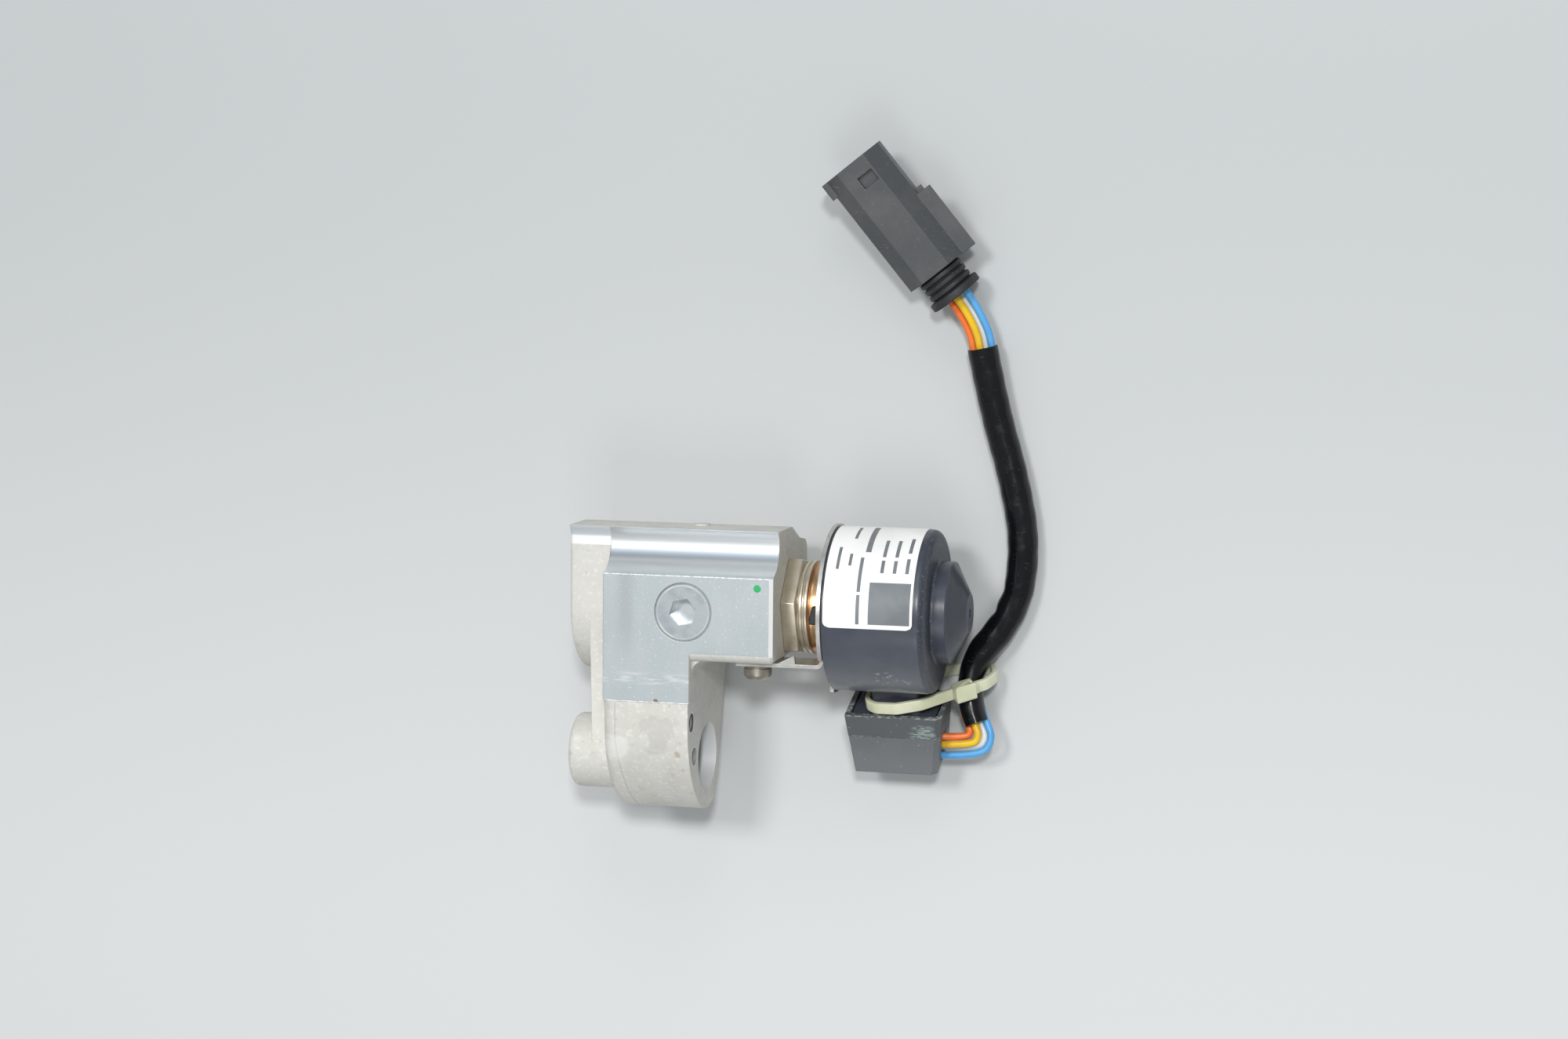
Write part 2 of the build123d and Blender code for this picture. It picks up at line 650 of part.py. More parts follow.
with BuildPart() as coil_housing:
    with BuildSketch(axis_plane):
        with BuildLine():
            Polyline((coil_left_x, rim_r + plate_gap), (coil_left_x, coil_r),
                     (coil_end_x - coil_round, coil_r))
            TangentArc((coil_end_x - coil_round, coil_r), (coil_end_x, coil_r - coil_round),
                       tangent=(1, 0))
            Polyline((coil_end_x, coil_r - coil_round), (coil_end_x, nose_r),
                     (nose_shoulder_x, nose_r), (nose_tip_x, nose_tip_r),
                     (nose_tip_x, nose_hole_r), (nose_tip_x - nose_hole_depth, nose_hole_r),
                     (nose_tip_x - nose_hole_depth, 0), (can_end_x + 0.3, 0),
                     (can_end_x + 0.3, coil_bore_r), (yoke_right_x + plate_gap, coil_bore_r),
                     (yoke_right_x + plate_gap, yoke_r + plate_gap),
                     (coil_left_x + yoke_wall + plate_gap, yoke_r + plate_gap),
                     (coil_left_x + yoke_wall + plate_gap, rim_r + plate_gap),
                     (coil_left_x, rim_r + plate_gap))
        make_face()
    revolve(axis=valve_axis)
    with BuildSketch(box_plane.offset(coil_r - coil_wall / 2)):
        with Locations((box_mid_x + 0.35, neck_front - neck_depth / 2)):
            RectangleRounded(neck_width, neck_depth, 1.2)
    extrude(amount=base_near + 0.1 - coil_r + coil_wall / 2)
    with BuildSketch(box_plane.offset(base_near)):
        with Locations((box_mid_x, 0)):
            RectangleRounded(box_width_at(base_far) - 2 * (box_wall + base_inset),
                             box_depth - 2 * (box_wall + base_inset), 1.0)
    extrude(amount=base_thickness)
save(coil_housing, "coil_housing")

# Terminal cover: an open tapered box with a slot for the wires in its right-hand wall
with BuildPart() as terminal_cover:
    with BuildSketch(box_plane.offset(box_near)):
        with Locations((box_mid_x, 0)):
            Rectangle(box_width, box_depth)
    with BuildSketch(box_plane.offset(box_far)):
        with Locations((box_mid_x, 0)):
            Rectangle(box_far_width, box_depth)
    loft()
    right_front = terminal_cover.edges().filter_by(
        lambda e: e.center().X > box_mid_x + 5 and abs(e.bounding_box().size.Y) > 6
        and (e.center() - axis_point).dot(box_front) > 0)
    chamfer(right_front, length=box_chamfer)
    with BuildSketch(box_plane.offset(box_near)):
        with Locations((box_mid_x, 0)):
            RectangleRounded(box_width - 2 * box_wall, box_depth - 2 * box_wall, 1.0)
    with BuildSketch(box_plane.offset(box_far - box_wall)):
        with Locations((box_mid_x, 0)):
            RectangleRounded(box_width_at(box_far - box_wall) - 2 * box_wall,
                             box_depth - 2 * box_wall, 1.0)
    loft(mode=Mode.SUBTRACT)
    # The shallow step across the front below the upper band
    with BuildSketch(box_plane.offset(box_near + box_band)):
        with Locations((box_mid_x, box_depth / 2)):
            Rectangle(box_width + 2, 0.3)
    extrude(amount=box_far - box_near, mode=Mode.SUBTRACT)
    # The slot that the wires leave through
    with BuildSketch(box_plane.offset(slot_near)):
        with Locations((box_mid_x + box_width / 2 - box_wall, 0)):
            Rectangle(slot_length, slot_width)
    extrude(amount=box_far - box_wall - slot_near, mode=Mode.SUBTRACT)
save(terminal_cover, "terminal_cover")

# Wire ends in the box, in order of colour: place out from the axis and in depth
wire_names = ("wire_orange", "wire_yellow", "wire_white", "wire_blue")
wire_starts = ((27.8, 0.9), (29.7, 0.8), (31.0, -0.9), (32.2, 0.8))
potting_right_x = box_mid_x + box_width_at(box_far) / 2 - box_wall - 0.4

# Terminal pins run from the windings' base into the potting
pin_row_x = [box_mid_x + (i - 1.5) * pin_pitch for i in range(4)]
pin_near = base_far - 1.0
pin_far = base_far + 3.0
with BuildPart() as terminal_pins:
    with BuildSketch(box_plane.offset(base_far)):
        with Locations(*[(x, 0) for x in pin_row_x]):
            Rectangle(pin_size, pin_size)
    extrude(amount=pin_far - base_far)
save(terminal_pins, "terminal_pins")

# Potting fills the box round the pins and holds the wires' ends
with BuildPart() as potting_block:
    with BuildSketch(box_plane.offset(base_far)):
        with Locations((box_mid_x, 0)):
            RectangleRounded(box_width_at(base_far) - 2 * (box_wall + 0.1),
                             box_depth - 2 * (box_wall + 0.1), 0.9)
    with BuildSketch(box_plane.offset(box_far - box_wall - 0.1)):
        with Locations((box_mid_x, 0)):
            RectangleRounded(box_width_at(box_far - box_wall) - 2 * (box_wall + 0.1),
                             box_depth - 2 * (box_wall + 0.1), 0.9)
    loft()
    with BuildSketch(box_plane.offset(base_far)):
        with Locations(*[(x, 0) for x in pin_row_x]):
            Rectangle(pin_size, pin_size)
    extrude(amount=pin_far - base_far, mode=Mode.SUBTRACT)
    with BuildSketch(box_plane.offset(slot_near - 0.5)):
        with Locations((potting_right_x + slot_length, 0)):
            Rectangle(2 * slot_length, slot_width + 0.8)
    extrude(amount=box_far - slot_near + 0.5, mode=Mode.SUBTRACT)
save(potting_block, "potting_block")

# Bracket: a round plate with a foot lanced out of it and folded under the arm
foot_rear_z = foot_front_z - foot_width
foot_top_y = arm_bottom_y
foot_mid_y = foot_top_y - sheet / 2
fold_top_y = foot_mid_y + foot_fold_r + sheet / 2
screw_z = foot_front_z - foot_width / 2
with BuildPart() as coil_bracket:
    with BuildSketch(valve_section(disc_left_x)):
        Circle(disc_r)
        Circle(disc_hole_r, mode=Mode.SUBTRACT)
        with Locations(((fold_top_y - axis_y - disc_r) / 2 - 2.0,
                        (foot_rear_z - foot_relief + disc_r) / 2 - axis_z / 2)):
            Rectangle(disc_r - (axis_y - fold_top_y) + 4.0, disc_r - foot_rear_z + foot_relief
                      + axis_z, mode=Mode.SUBTRACT)
    extrude(amount=sheet)
    with BuildSketch(Plane.XY.offset(foot_rear_z)):
        with BuildLine() as foot_line:
            FilletPolyline((disc_left_x + sheet / 2, fold_top_y + 0.8),
                           (disc_left_x + sheet / 2, foot_mid_y), (foot_left_x, foot_mid_y),
                           radius=foot_fold_r)
        trace(line_width=sheet)
    extrude(amount=foot_width)
    with BuildSketch(valve_section(disc_left_x)):
        Circle(disc_hole_r)
    extrude(amount=sheet, mode=Mode.SUBTRACT)
    with BuildSketch(Plane(origin=(screw_x, foot_top_y - sheet, screw_z), x_dir=(1, 0, 0),
                           z_dir=(0, 1, 0))):
        Circle(screw_shank_r + 0.25)
    extrude(amount=sheet, mode=Mode.SUBTRACT)
save(coil_bracket, "coil_bracket")

# Pan-head screw with its spring washer, under the arm
screw_axis = Axis((screw_x, 0, screw_z), (0, 1, 0))
screw_plane = Plane(origin=(screw_x, 0, screw_z), x_dir=(0, 1, 0), z_dir=(0, 0, 1))
washer_top_y = foot_top_y - sheet
head_top_y = washer_top_y - washer_h
head_low_y = head_top_y - screw_head_h
with BuildPart() as bracket_screw:
    with BuildSketch(screw_plane):
        with BuildLine():
            Polyline((head_low_y, 0), (head_top_y + screw_length, 0),
                     (head_top_y + screw_length, screw_shank_r - 0.4),
                     (head_top_y + screw_length - 0.4, screw_shank_r),
                     (head_top_y, screw_shank_r), (head_top_y, screw_head_r),
                     (head_top_y - screw_head_h * 0.45, screw_head_r))
            ThreePointArc((head_top_y - screw_head_h * 0.45, screw_head_r),
                          (head_low_y + screw_head_h * 0.14, screw_head_r * 0.8),
                          (head_low_y, screw_head_r * 0.45))
            Line((head_low_y, screw_head_r * 0.45), (head_low_y, 0))
        make_face()
    revolve(axis=screw_axis)
    with BuildSketch(Plane(origin=(screw_x, head_low_y, screw_z), x_dir=(1, 0, 0),
                           z_dir=(0, 1, 0))):
        Rectangle(2.4, 0.7)
        Rectangle(0.7, 2.4)
    extrude(amount=1.1, mode=Mode.SUBTRACT)
save(bracket_screw, "bracket_screw")
with BuildPart() as spring_washer:
    with BuildSketch(Plane(origin=(screw_x, head_top_y, screw_z), x_dir=(1, 0, 0),
                           z_dir=(0, 1, 0))):
        Circle(washer_r)
        Circle(screw_shank_r + 0.15, mode=Mode.SUBTRACT)
        with Locations((washer_r / 2 + 0.5, 0)):
            Rectangle(washer_r, 0.5, mode=Mode.SUBTRACT)
    extrude(amount=washer_h)
save(spring_washer, "spring_washer")

# Label: a thin film wrapped round the top and front of the coil
label_left_x, label_right_x = coil_left_x + 0.5, coil_end_x - coil_round - 0.2
label_up = (0, sin(radians(label_top_angle)), cos(radians(label_top_angle)))
label_normal = (0, -cos(radians(label_top_angle)), sin(radians(label_top_angle)))
with BuildPart() as rating_label:
    with BuildSketch(Plane(origin=(0, axis_y, axis_z), x_dir=(1, 0, 0), z_dir=label_normal)):
        with Locations(((label_left_x + label_right_x) / 2, coil_r + label_thickness / 2 + 0.01)):
            Rectangle(label_right_x - label_left_x, label_thickness)
    revolve(axis=valve_axis, revolution_arc=label_top_angle - label_low_angle)
save(rating_label, "rating_label")

# Sleeve: the lead's PVC tube, from its mouth beside the box, round the tie and on to the plug
sleeve_floor_z = floor_z + sleeve_r + 0.1
sleeve_points = [Vector(53.6, 7.4, -11.9), Vector(49.5, 16.7, -13.3),
                 Vector(60.4, 29.6, -15.3), Vector(62.3, 43.5, sleeve_floor_z),
                 Vector(59.6, 57.5, sleeve_floor_z), Vector(55.4, 71.0, sleeve_floor_z),
                 Vector(52.9, 83.6, -14.9)]
lead_sleeve = tube(sleeve_points, sleeve_r, "lead_sleeve")
save(lead_sleeve, "lead_sleeve")

# Plug: it rests on its boot's flange, its mouth tipped up by the stiff lead
plug_end = Vector(47.9, 94.1, floor_z + boot_flange_r + 0.05)
plug_mouth = Vector(27.6, 120.0, -7.9)
plug_axis = (plug_mouth - plug_end).normalized()
plug_side = Vector(plug_axis.Y, -plug_axis.X, 0).normalized()
plug_plane = Plane(origin=plug_end, x_dir=plug_side, z_dir=plug_axis)
plug_turn_axis = Axis(plug_end, plug_axis)
plug_turn_plane = Plane(origin=plug_end, x_dir=plug_axis, z_dir=plug_side)

rib_count = 3
boot_profile = [(0, 0), (0, boot_flange_r - 0.3), (0.3, boot_flange_r), (1.4, boot_flange_r),
                (1.7, boot_flange_r - 0.5), (1.8, boot_root_r)]
for i in range(rib_count):
    start = 1.9 + i * boot_rib_pitch
    boot_profile += [(start + 0.3, boot_rib_r), (start + 0.8, boot_rib_r), (start + 1.1, boot_root_r)]
boot_profile += [(plug_body_start, boot_root_r), (plug_body_start, 0)]
plug_boot = turned(boot_profile, plug_turn_plane, plug_turn_axis)
save(plug_boot, "plug_boot")


def plug_section(width, height, facet):
    """The plug's eight-sided outline."""
    w, h = width / 2, height / 2
    return [(-w, -h + facet), (-w + facet, -h), (w - facet, -h), (w, -h + facet),
            (w, h - facet), (w - facet, h), (-w + facet, h), (-w, h - facet)]


socket_bottom = plug_length - plug_socket_depth
with BuildPart() as plug_housing:
    with BuildSketch(plug_plane.offset(plug_body_start)):
        with BuildLine():
            Polyline(*plug_section(plug_width, plug_height, plug_facet), close=True)
        make_face()
    extrude(amount=plug_length - plug_body_start)
    # The mounting rail along one side, with the shorter rib under it
    with BuildSketch(plug_plane.offset(plug_length - rail_start - rail_length)):
        with Locations((plug_width / 2 + rail_reach / 2 - 0.2, -rail_lift)):
            Rectangle(rail_reach + 0.4, rail_thickness)
    extrude(amount=rail_length)
    with BuildSketch(plug_plane.offset(plug_length - rail_start - rail_length)):
        with Locations((plug_width / 2 + rib_reach / 2 - 0.2, -rail_lift + rail_thickness)):
            Rectangle(rib_reach + 0.4, rail_thickness)
    extrude(amount=rail_length + rib_lead)
    # The pad beside the mouth
    with BuildSketch(plug_plane.offset(plug_length - pad_length)):
        with Locations((-plug_width / 2 - pad_reach / 2 + 0.2, 0)):
            Rectangle(pad_reach + 0.4, pad_width)
    extrude(amount=pad_length)
    # The socket, the cavity of the seal and the latch window
    with BuildSketch(plug_plane.offset(plug_length)):
        with BuildLine():
            Polyline(*plug_section(plug_width - 2 * plug_wall, plug_height - 2 * plug_wall,
                                   plug_facet - plug_wall / 2), close=True)
        make_face()
    extrude(amount=-plug_socket_depth, mode=Mode.SUBTRACT)
    with BuildSketch(plug_plane.offset(plug_length - window_from_mouth - window_length)):
        with Locations((window_shift, -plug_height / 2)):
            Rectangle(window_width, 2.0)
    extrude(amount=window_length, mode=Mode.SUBTRACT)
save(plug_housing, "plug_housing")

# Pins: two rows of two blades that stand in the socket
pin_places = [(x, y) for y in (-plug_pin_pitch / 2, plug_pin_pitch / 2)
              for x in (-plug_pin_pitch / 2, plug_pin_pitch / 2)]
with BuildPart() as plug_pins:
    with BuildSketch(plug_plane.offset(socket_bottom + 0.02)):
        with Locations(*pin_places):
            Rectangle(pin_size, pin_size)
    extrude(amount=plug_pin_length)
save(plug_pins, "plug_pins")

# Wires: each has an end in the box and an end in the plug, and is hidden between them
mouth_out = (sleeve_points[0] - sleeve_points[1]).normalized()
mouth_side = Vector(-mouth_out.Y, mouth_out.X, 0).normalized()
mouth_up = mouth_out.cross(mouth_side)
far_out = (sleeve_points[-1] - sleeve_points[-2]).normalized()
far_side = Vector(far_out.Y, -far_out.X, 0).normalized()
far_up = far_side.cross(far_out)
plug_up = plug_side.cross(plug_axis)
turn_out = (mouth_out + Vector(-1, 0, 0)).normalized()
wire_places = ((-wire_spread, 0.0), (-0.35, wire_lift), (0.35, -wire_lift), (wire_spread, 0.0))
wire_drops = ((1.1, 1.5), (2.6, 2.4), (3.2, 3.0), (4.2, 4.4))
wire_tail = 3.2
wire_gap = 0.25
wires = []
for name, start, place, drop in zip(wire_names, wire_starts, wire_places, wire_drops):
    mouth_point = sleeve_points[0] + mouth_side * place[0] + mouth_up * place[1]
    first_bend = mouth_point + mouth_out * drop[0]
    second_bend = first_bend + turn_out * drop[1]
    near_end = tube([box_point(potting_right_x + wire_gap, *start), second_bend, first_bend,
                     mouth_point], wire_r, name + " near")
    sleeve_end = sleeve_points[-1] + far_side * place[0] + far_up * place[1]
    boot_end = plug_end + plug_side * place[0] + plug_up * place[1]
    far_end = tube([sleeve_end, sleeve_end + far_out * wire_tail,
                    boot_end - plug_axis * wire_tail, boot_end], wire_r, name + " far")
    with BuildPart() as wire:
        add(near_end.part)
        add(far_end.part)
    save(wire, name)

# Cable tie: a band round the neck and the sleeve, with its ratchet head
tilt_cos, tilt_sin = cos(radians(tie_tilt)), sin(radians(tie_tilt))
tie_normal = box_out * tilt_cos + Vector(1, 0, 0) * tilt_sin
tie_along = Vector(1, 0, 0) * tilt_cos - box_out * tilt_sin
tie_plane = Plane(origin=box_point(box_mid_x, tie_distance, 0), x_dir=tie_along,
                  z_dir=tie_normal)
tie_outline = [(-6.2, -5.2), (-6.2, 3.8), (-3.8, 5.9), (1.0, 6.6), (6.0, 5.0), (12.0, 0.4),
               (18.0, -3.2), (19.6, -6.8), (18.4, -11.1), (13.2, -11.5), (8.5, -11.2), (-3.2, -7.8)]
with BuildPart() as cable_tie:
    with BuildSketch(tie_plane.offset(-tie_width / 2)):
        with BuildLine():
            FilletPolyline(*tie_outline, radius=tie_round, close=True)
        make_face()
        offset(amount=-tie_thickness, mode=Mode.SUBTRACT)
    extrude(amount=tie_width)
    with BuildSketch(tie_plane.offset(-tie_width / 2 - tie_head_reach)):
        with Locations(Location((tie_head_along, tie_head_front, 0), (0, 0, tie_head_turn))):
            Rectangle(tie_head_length, tie_head_depth)
    extrude(amount=tie_width + tie_head_reach + 0.1)
save(cable_tie, "cable_tie")
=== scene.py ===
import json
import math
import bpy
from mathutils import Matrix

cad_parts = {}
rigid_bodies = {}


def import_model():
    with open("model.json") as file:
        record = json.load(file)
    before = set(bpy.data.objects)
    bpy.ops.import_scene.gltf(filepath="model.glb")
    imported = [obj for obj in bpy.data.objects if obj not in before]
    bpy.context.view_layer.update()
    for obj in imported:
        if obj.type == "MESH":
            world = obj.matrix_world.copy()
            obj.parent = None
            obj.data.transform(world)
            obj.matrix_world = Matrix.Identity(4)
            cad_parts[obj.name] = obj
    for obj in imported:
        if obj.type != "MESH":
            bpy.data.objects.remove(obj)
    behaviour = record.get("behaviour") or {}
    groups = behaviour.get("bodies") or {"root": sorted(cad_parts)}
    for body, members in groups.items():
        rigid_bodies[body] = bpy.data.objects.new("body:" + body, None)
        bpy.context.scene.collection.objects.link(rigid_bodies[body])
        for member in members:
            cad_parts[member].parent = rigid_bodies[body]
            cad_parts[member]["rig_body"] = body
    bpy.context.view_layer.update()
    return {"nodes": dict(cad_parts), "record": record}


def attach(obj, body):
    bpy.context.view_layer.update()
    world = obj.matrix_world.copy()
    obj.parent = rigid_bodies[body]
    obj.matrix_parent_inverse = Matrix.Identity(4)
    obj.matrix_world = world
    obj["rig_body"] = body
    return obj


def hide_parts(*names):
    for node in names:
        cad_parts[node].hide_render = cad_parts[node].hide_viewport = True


bl_info = {
    "name": "Expansion valve",
    "version": (1, 0, 0),
    "blender": (4, 5, 0),
    "location": "3D View > Sidebar > Valve",
    "description": "Dresses a motor-driven expansion valve with its lead and plug",
    "category": "Object",
}

import bmesh
import bpy
import numpy as np
from bpy.props import FloatProperty, FloatVectorProperty, PointerProperty
from mathutils import Matrix

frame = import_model()

# The frame: X runs along the valve's axis, Y up the machined face, Z out of it. Lists are in mm.
MM = 0.001
AXIS_Y, AXIS_Z = 31.2, -1.9
FLOOR_Z = -18.9
COIL_R = 16.5
CAN_R, CAN_WALL, CAN_END = 9.1, 0.35, 48.4
HEX_AF, HEX_TURN, HEX_END, COLLAR_END = 18.6, 20.0, 20.2, 22.3
# The block: its pad, the smooth ridge above the pad, the lower port and the service plug's place
FACE_Z, PAD_LEFT, PAD_LOW, PAD_HIGH = 14.4, -17.9, 12.6, 38.5
RIDGE_BACK_Z, RIDGE_RIGHT, RIDGE_CAST_Y = 8.8, 16.95, 43.5
PORT_R, PORT_DEPTH = 6.9, 12.0
SERVICE_X = -1.35
# The lobe's holes: y, z, radius, depth and whether threaded
LOBE_HOLES = ((8.7, 12.1, 1.9, 7.0, 1.0), (1.5, 9.9, 1.8, 6.0, 0.0))
ALONG = np.array((1.0, 0.0, 0.0))
ACROSS = np.array((0.0, 1.0, 0.0))
UP = np.array((0.0, 0.0, 1.0))
AXIS_POINT = np.array((0.0, AXIS_Y, AXIS_Z))

# The terminal box hangs from the coil, swung back, with painted highlight and scuffs on the edges
# of its step and open end
SWING = math.radians(19.0)
BOX_OUT = np.array((0.0, -math.cos(SWING), -math.sin(SWING)))
BOX_FRONT = np.array((0.0, -math.sin(SWING), math.cos(SWING)))
BOX_MID_X = 37.85
BOX_STEP, BOX_OPEN = 25.75, 21.1

# The sleeve's route, and the plug from the end of its boot to its mouth
SLEEVE_ROUTE = [(53.6, 7.4, -11.9), (49.5, 16.7, -13.3), (60.4, 29.6, -15.3), (62.3, 43.5, -15.7),
                (59.6, 57.5, -15.7), (55.4, 71.0, -15.7), (52.9, 83.6, -14.9)]
PLUG_END, PLUG_MOUTH = np.array((47.9, 94.1, -13.15)), np.array((27.6, 120.0, -7.9))

# Each wire: where it leaves the box (out, front), its place in the sleeve (aside, up), and its
# reach out of the sleeve's mouth and round the bend
WIRE_BOX_X, WIRE_TAIL, WIRE_R = 45.1, 3.2, 0.75
WIRES = {"orange": (27.8, 0.9, -1.9, 0.0, 1.1, 1.5), "yellow": (29.7, 0.8, -0.35, 0.95, 2.6, 2.4),
         "white": (31.0, -0.9, 0.35, -0.95, 3.2, 3.0), "blue": (32.2, 0.8, 1.9, 0.0, 4.2, 4.4)}
SLEEVE_LENGTH, SLEEVE_D = 80.0, 6.2


# Surfaces

def unit(vectors):
    """Each vector divided by its own length."""
    return vectors / np.linalg.norm(vectors, axis=-1, keepdims=True)


PLUG_AXIS = unit(PLUG_MOUTH - PLUG_END)
PLUG_SIDE = unit(np.array((PLUG_AXIS[1], -PLUG_AXIS[0], 0.0)))
PLUG_UP = np.cross(PLUG_SIDE, PLUG_AXIS)


def mesh_piece(name, points, faces, material, uv=None, sharp=35.0):
    """An object at the origin from points in millimetres; doubles merged, faces outwards."""
    mesh = bpy.data.meshes.new(name)
    mesh.from_pydata((np.asarray(points).reshape(-1, 3) * MM).tolist(), [], faces)
    if uv is not None:
        layer = mesh.uv_layers.new(name="surface")
        loops = np.zeros(len(mesh.loops), dtype=np.int32)
        mesh.loops.foreach_get("vertex_index", loops)
        corners = np.asarray(uv).reshape(-1, 2)[loops]
        layer.data.foreach_set("uv", corners.astype(np.float32).ravel())
    piece = bpy.data.objects.new(name, mesh)
    bpy.context.scene.collection.objects.link(piece)
    tidy_mesh(mesh, sharp)
    mesh.materials.append(material)
    return piece


def tidy_mesh(mesh, sharp):
    """Doubles merged, faces outwards, smooth with sharp edges above an angle."""
    work = bmesh.new()
    work.from_mesh(mesh)
    bmesh.ops.remove_doubles(work, verts=work.verts, dist=2e-7)
    bmesh.ops.dissolve_degenerate(work, dist=1e-7, edges=work.edges)
    bmesh.ops.recalc_face_normals(work, faces=work.faces)
    limit = math.radians(sharp)
    for face in work.faces:
        face.smooth = True
    for edge in work.edges:
        edge.smooth = not (edge.is_manifold and edge.calc_face_angle(0.0) > limit)
    work.to_mesh(mesh)
    work.free()


def grid_faces(rows, columns, around=True, closed=False, start=0):
    """Quads between the neighbouring rows and columns of a grid of points."""
    row = np.arange(rows if closed else rows - 1)[:, None]
    column = np.arange(columns if around else columns - 1)[None, :]
    next_row, next_column = (row + 1) % rows, (column + 1) % columns
    quads = np.stack(np.broadcast_arrays(row * columns + column, row * columns + next_column,
                                         next_row * columns + next_column,
                                         next_row * columns + column), axis=-1)
    return (quads.reshape(-1, 4) + start).tolist()


def eased(corners, radii, steps=6, closed=False):
    """Each corner of a polyline replaced by (1-s)^2 A + 2s(1-s) P + s^2 B, A and B a radius'
    tangent length before and after the corner P."""
    corners = np.asarray(corners, dtype=float)
    radii = np.broadcast_to(np.asarray(radii, dtype=float), (len(corners),)).copy()
    before, after = np.roll(corners, 1, axis=0) - corners, np.roll(corners, -1, axis=0) - corners
    if not closed:
        before[0], after[-1] = after[0], before[-1]
        radii[0] = radii[-1] = 0.0
    run_in, run_out = np.linalg.norm(before, axis=1), np.linalg.norm(after, axis=1)
    inward, outward = before / run_in[:, None], after / run_out[:, None]
    half = np.arccos(np.clip((inward * outward).sum(axis=1), -1, 0.9999)) / 2
    cut = np.minimum(radii / np.tan(np.maximum(half, 0.02)), 0.48 * np.minimum(run_in, run_out))
    s = np.linspace(0, 1, steps)[None, :, None]
    point = corners[:, None, :]
    first = point + (inward * cut[:, None])[:, None, :]
    last = point + (outward * cut[:, None])[:, None, :]
    return ((1 - s) ** 2 * first + 2 * s * (1 - s) * point + s ** 2 * last).reshape(
        -1, corners.shape[1])


def lathe(name, profile, material, origin=AXIS_POINT, axis=ALONG, side=UP, steps=128):
    """Points origin + axis * along + (side cos t + third sin t) * radius, for a profile of
    (along, radius) and t round the turn."""
    profile = np.asarray(profile, dtype=float)
    third = np.cross(axis, side)
    turn = np.linspace(0, 2 * np.pi, steps, endpoint=False)
    ring = np.cos(turn)[:, None] * side + np.sin(turn)[:, None] * third
    points = origin + profile[:, None, :1] * axis + profile[:, None, 1:] * ring[None]
    return mesh_piece(name, points, grid_faces(len(profile), steps), material)


def prism(name, outline, levels, material, origin, x_dir, y_dir, sharp=35.0):
    """An outline carried along the normal of its plane; each level is (height, inset), the
    inset measured inwards along the outline's own normals. Both ends are closed."""
    outline = np.asarray(outline, dtype=float)
    forward = unit(np.roll(outline, -1, axis=0) - np.roll(outline, 1, axis=0) + 1e-12)
    inward = np.stack((-forward[:, 1], forward[:, 0]), axis=1)
    levels = np.asarray(levels, dtype=float)
    flat = outline[None] + inward[None] * levels[:, 1, None, None]
    z_dir = np.cross(x_dir, y_dir)
    points = (np.asarray(origin) + flat[..., :1] * x_dir + flat[..., 1:] * y_dir
              + levels[:, 0, None, None] * z_dir)
    count = len(outline)
    last = (len(levels) - 1) * count
    faces = grid_faces(len(levels), count)
    faces += [list(range(count)), list(range(last, last + count))]
    return mesh_piece(name, points, faces, material, sharp=sharp)


def path_frames(path):
    """Side and normal directions along a path: side = tangent x up, normal = side x tangent."""
    tangent = unit(np.gradient(path, axis=0))
    side = unit(np.cross(tangent, UP))
    return side, np.cross(side, tangent)


def path_reach(path):
    """How far along the path each of its points lies."""
    return np.concatenate(([0.0], np.cumsum(np.linalg.norm(np.diff(path, axis=0), axis=1))))


def carried(name, path, section, material):
    """A closed section of (side, normal) offsets carried along a path; its UV map runs along the
    path in millimetres and once round the section."""
    side, normal = path_frames(path)
    points = path[:, None] + section[..., :1] * side[:, None] + section[..., 1:] * normal[:, None]
    rows, columns = points.shape[:2]
    coords = np.stack(np.broadcast_arrays(path_reach(path)[:, None],
                                          np.arange(columns)[None] / columns), axis=-1)
    return mesh_piece(name, points, grid_faces(rows, columns), material, coords, sharp=60.0)


def route_points(name, route, resolution=24):
    """The points of a smooth spline that has the route's points as its control points."""
    curve = bpy.data.curves.new(name, "CURVE")
    curve.dimensions = "3D"
    curve.resolution_u = resolution
    spline = curve.splines.new("NURBS")
    spline.points.add(len(route) - 1)
    spline.points.foreach_set("co", [v for p in route for v in (*(c * MM for c in p), 1.0)])
    spline.order_u = 3
    spline.use_endpoint_u = True
    holder = bpy.data.objects.new(name, curve)
    bpy.context.scene.collection.objects.link(holder)
    bpy.context.view_layer.update()
    mesh = bpy.data.meshes.new_from_object(
        holder.evaluated_get(bpy.context.evaluated_depsgraph_get()))
    points = np.zeros(len(mesh.vertices) * 3)
    mesh.vertices.foreach_get("co", points)
    bpy.data.objects.remove(holder)
    bpy.data.curves.remove(curve)
    bpy.data.meshes.remove(mesh)
    return points.reshape(-1, 3) / MM


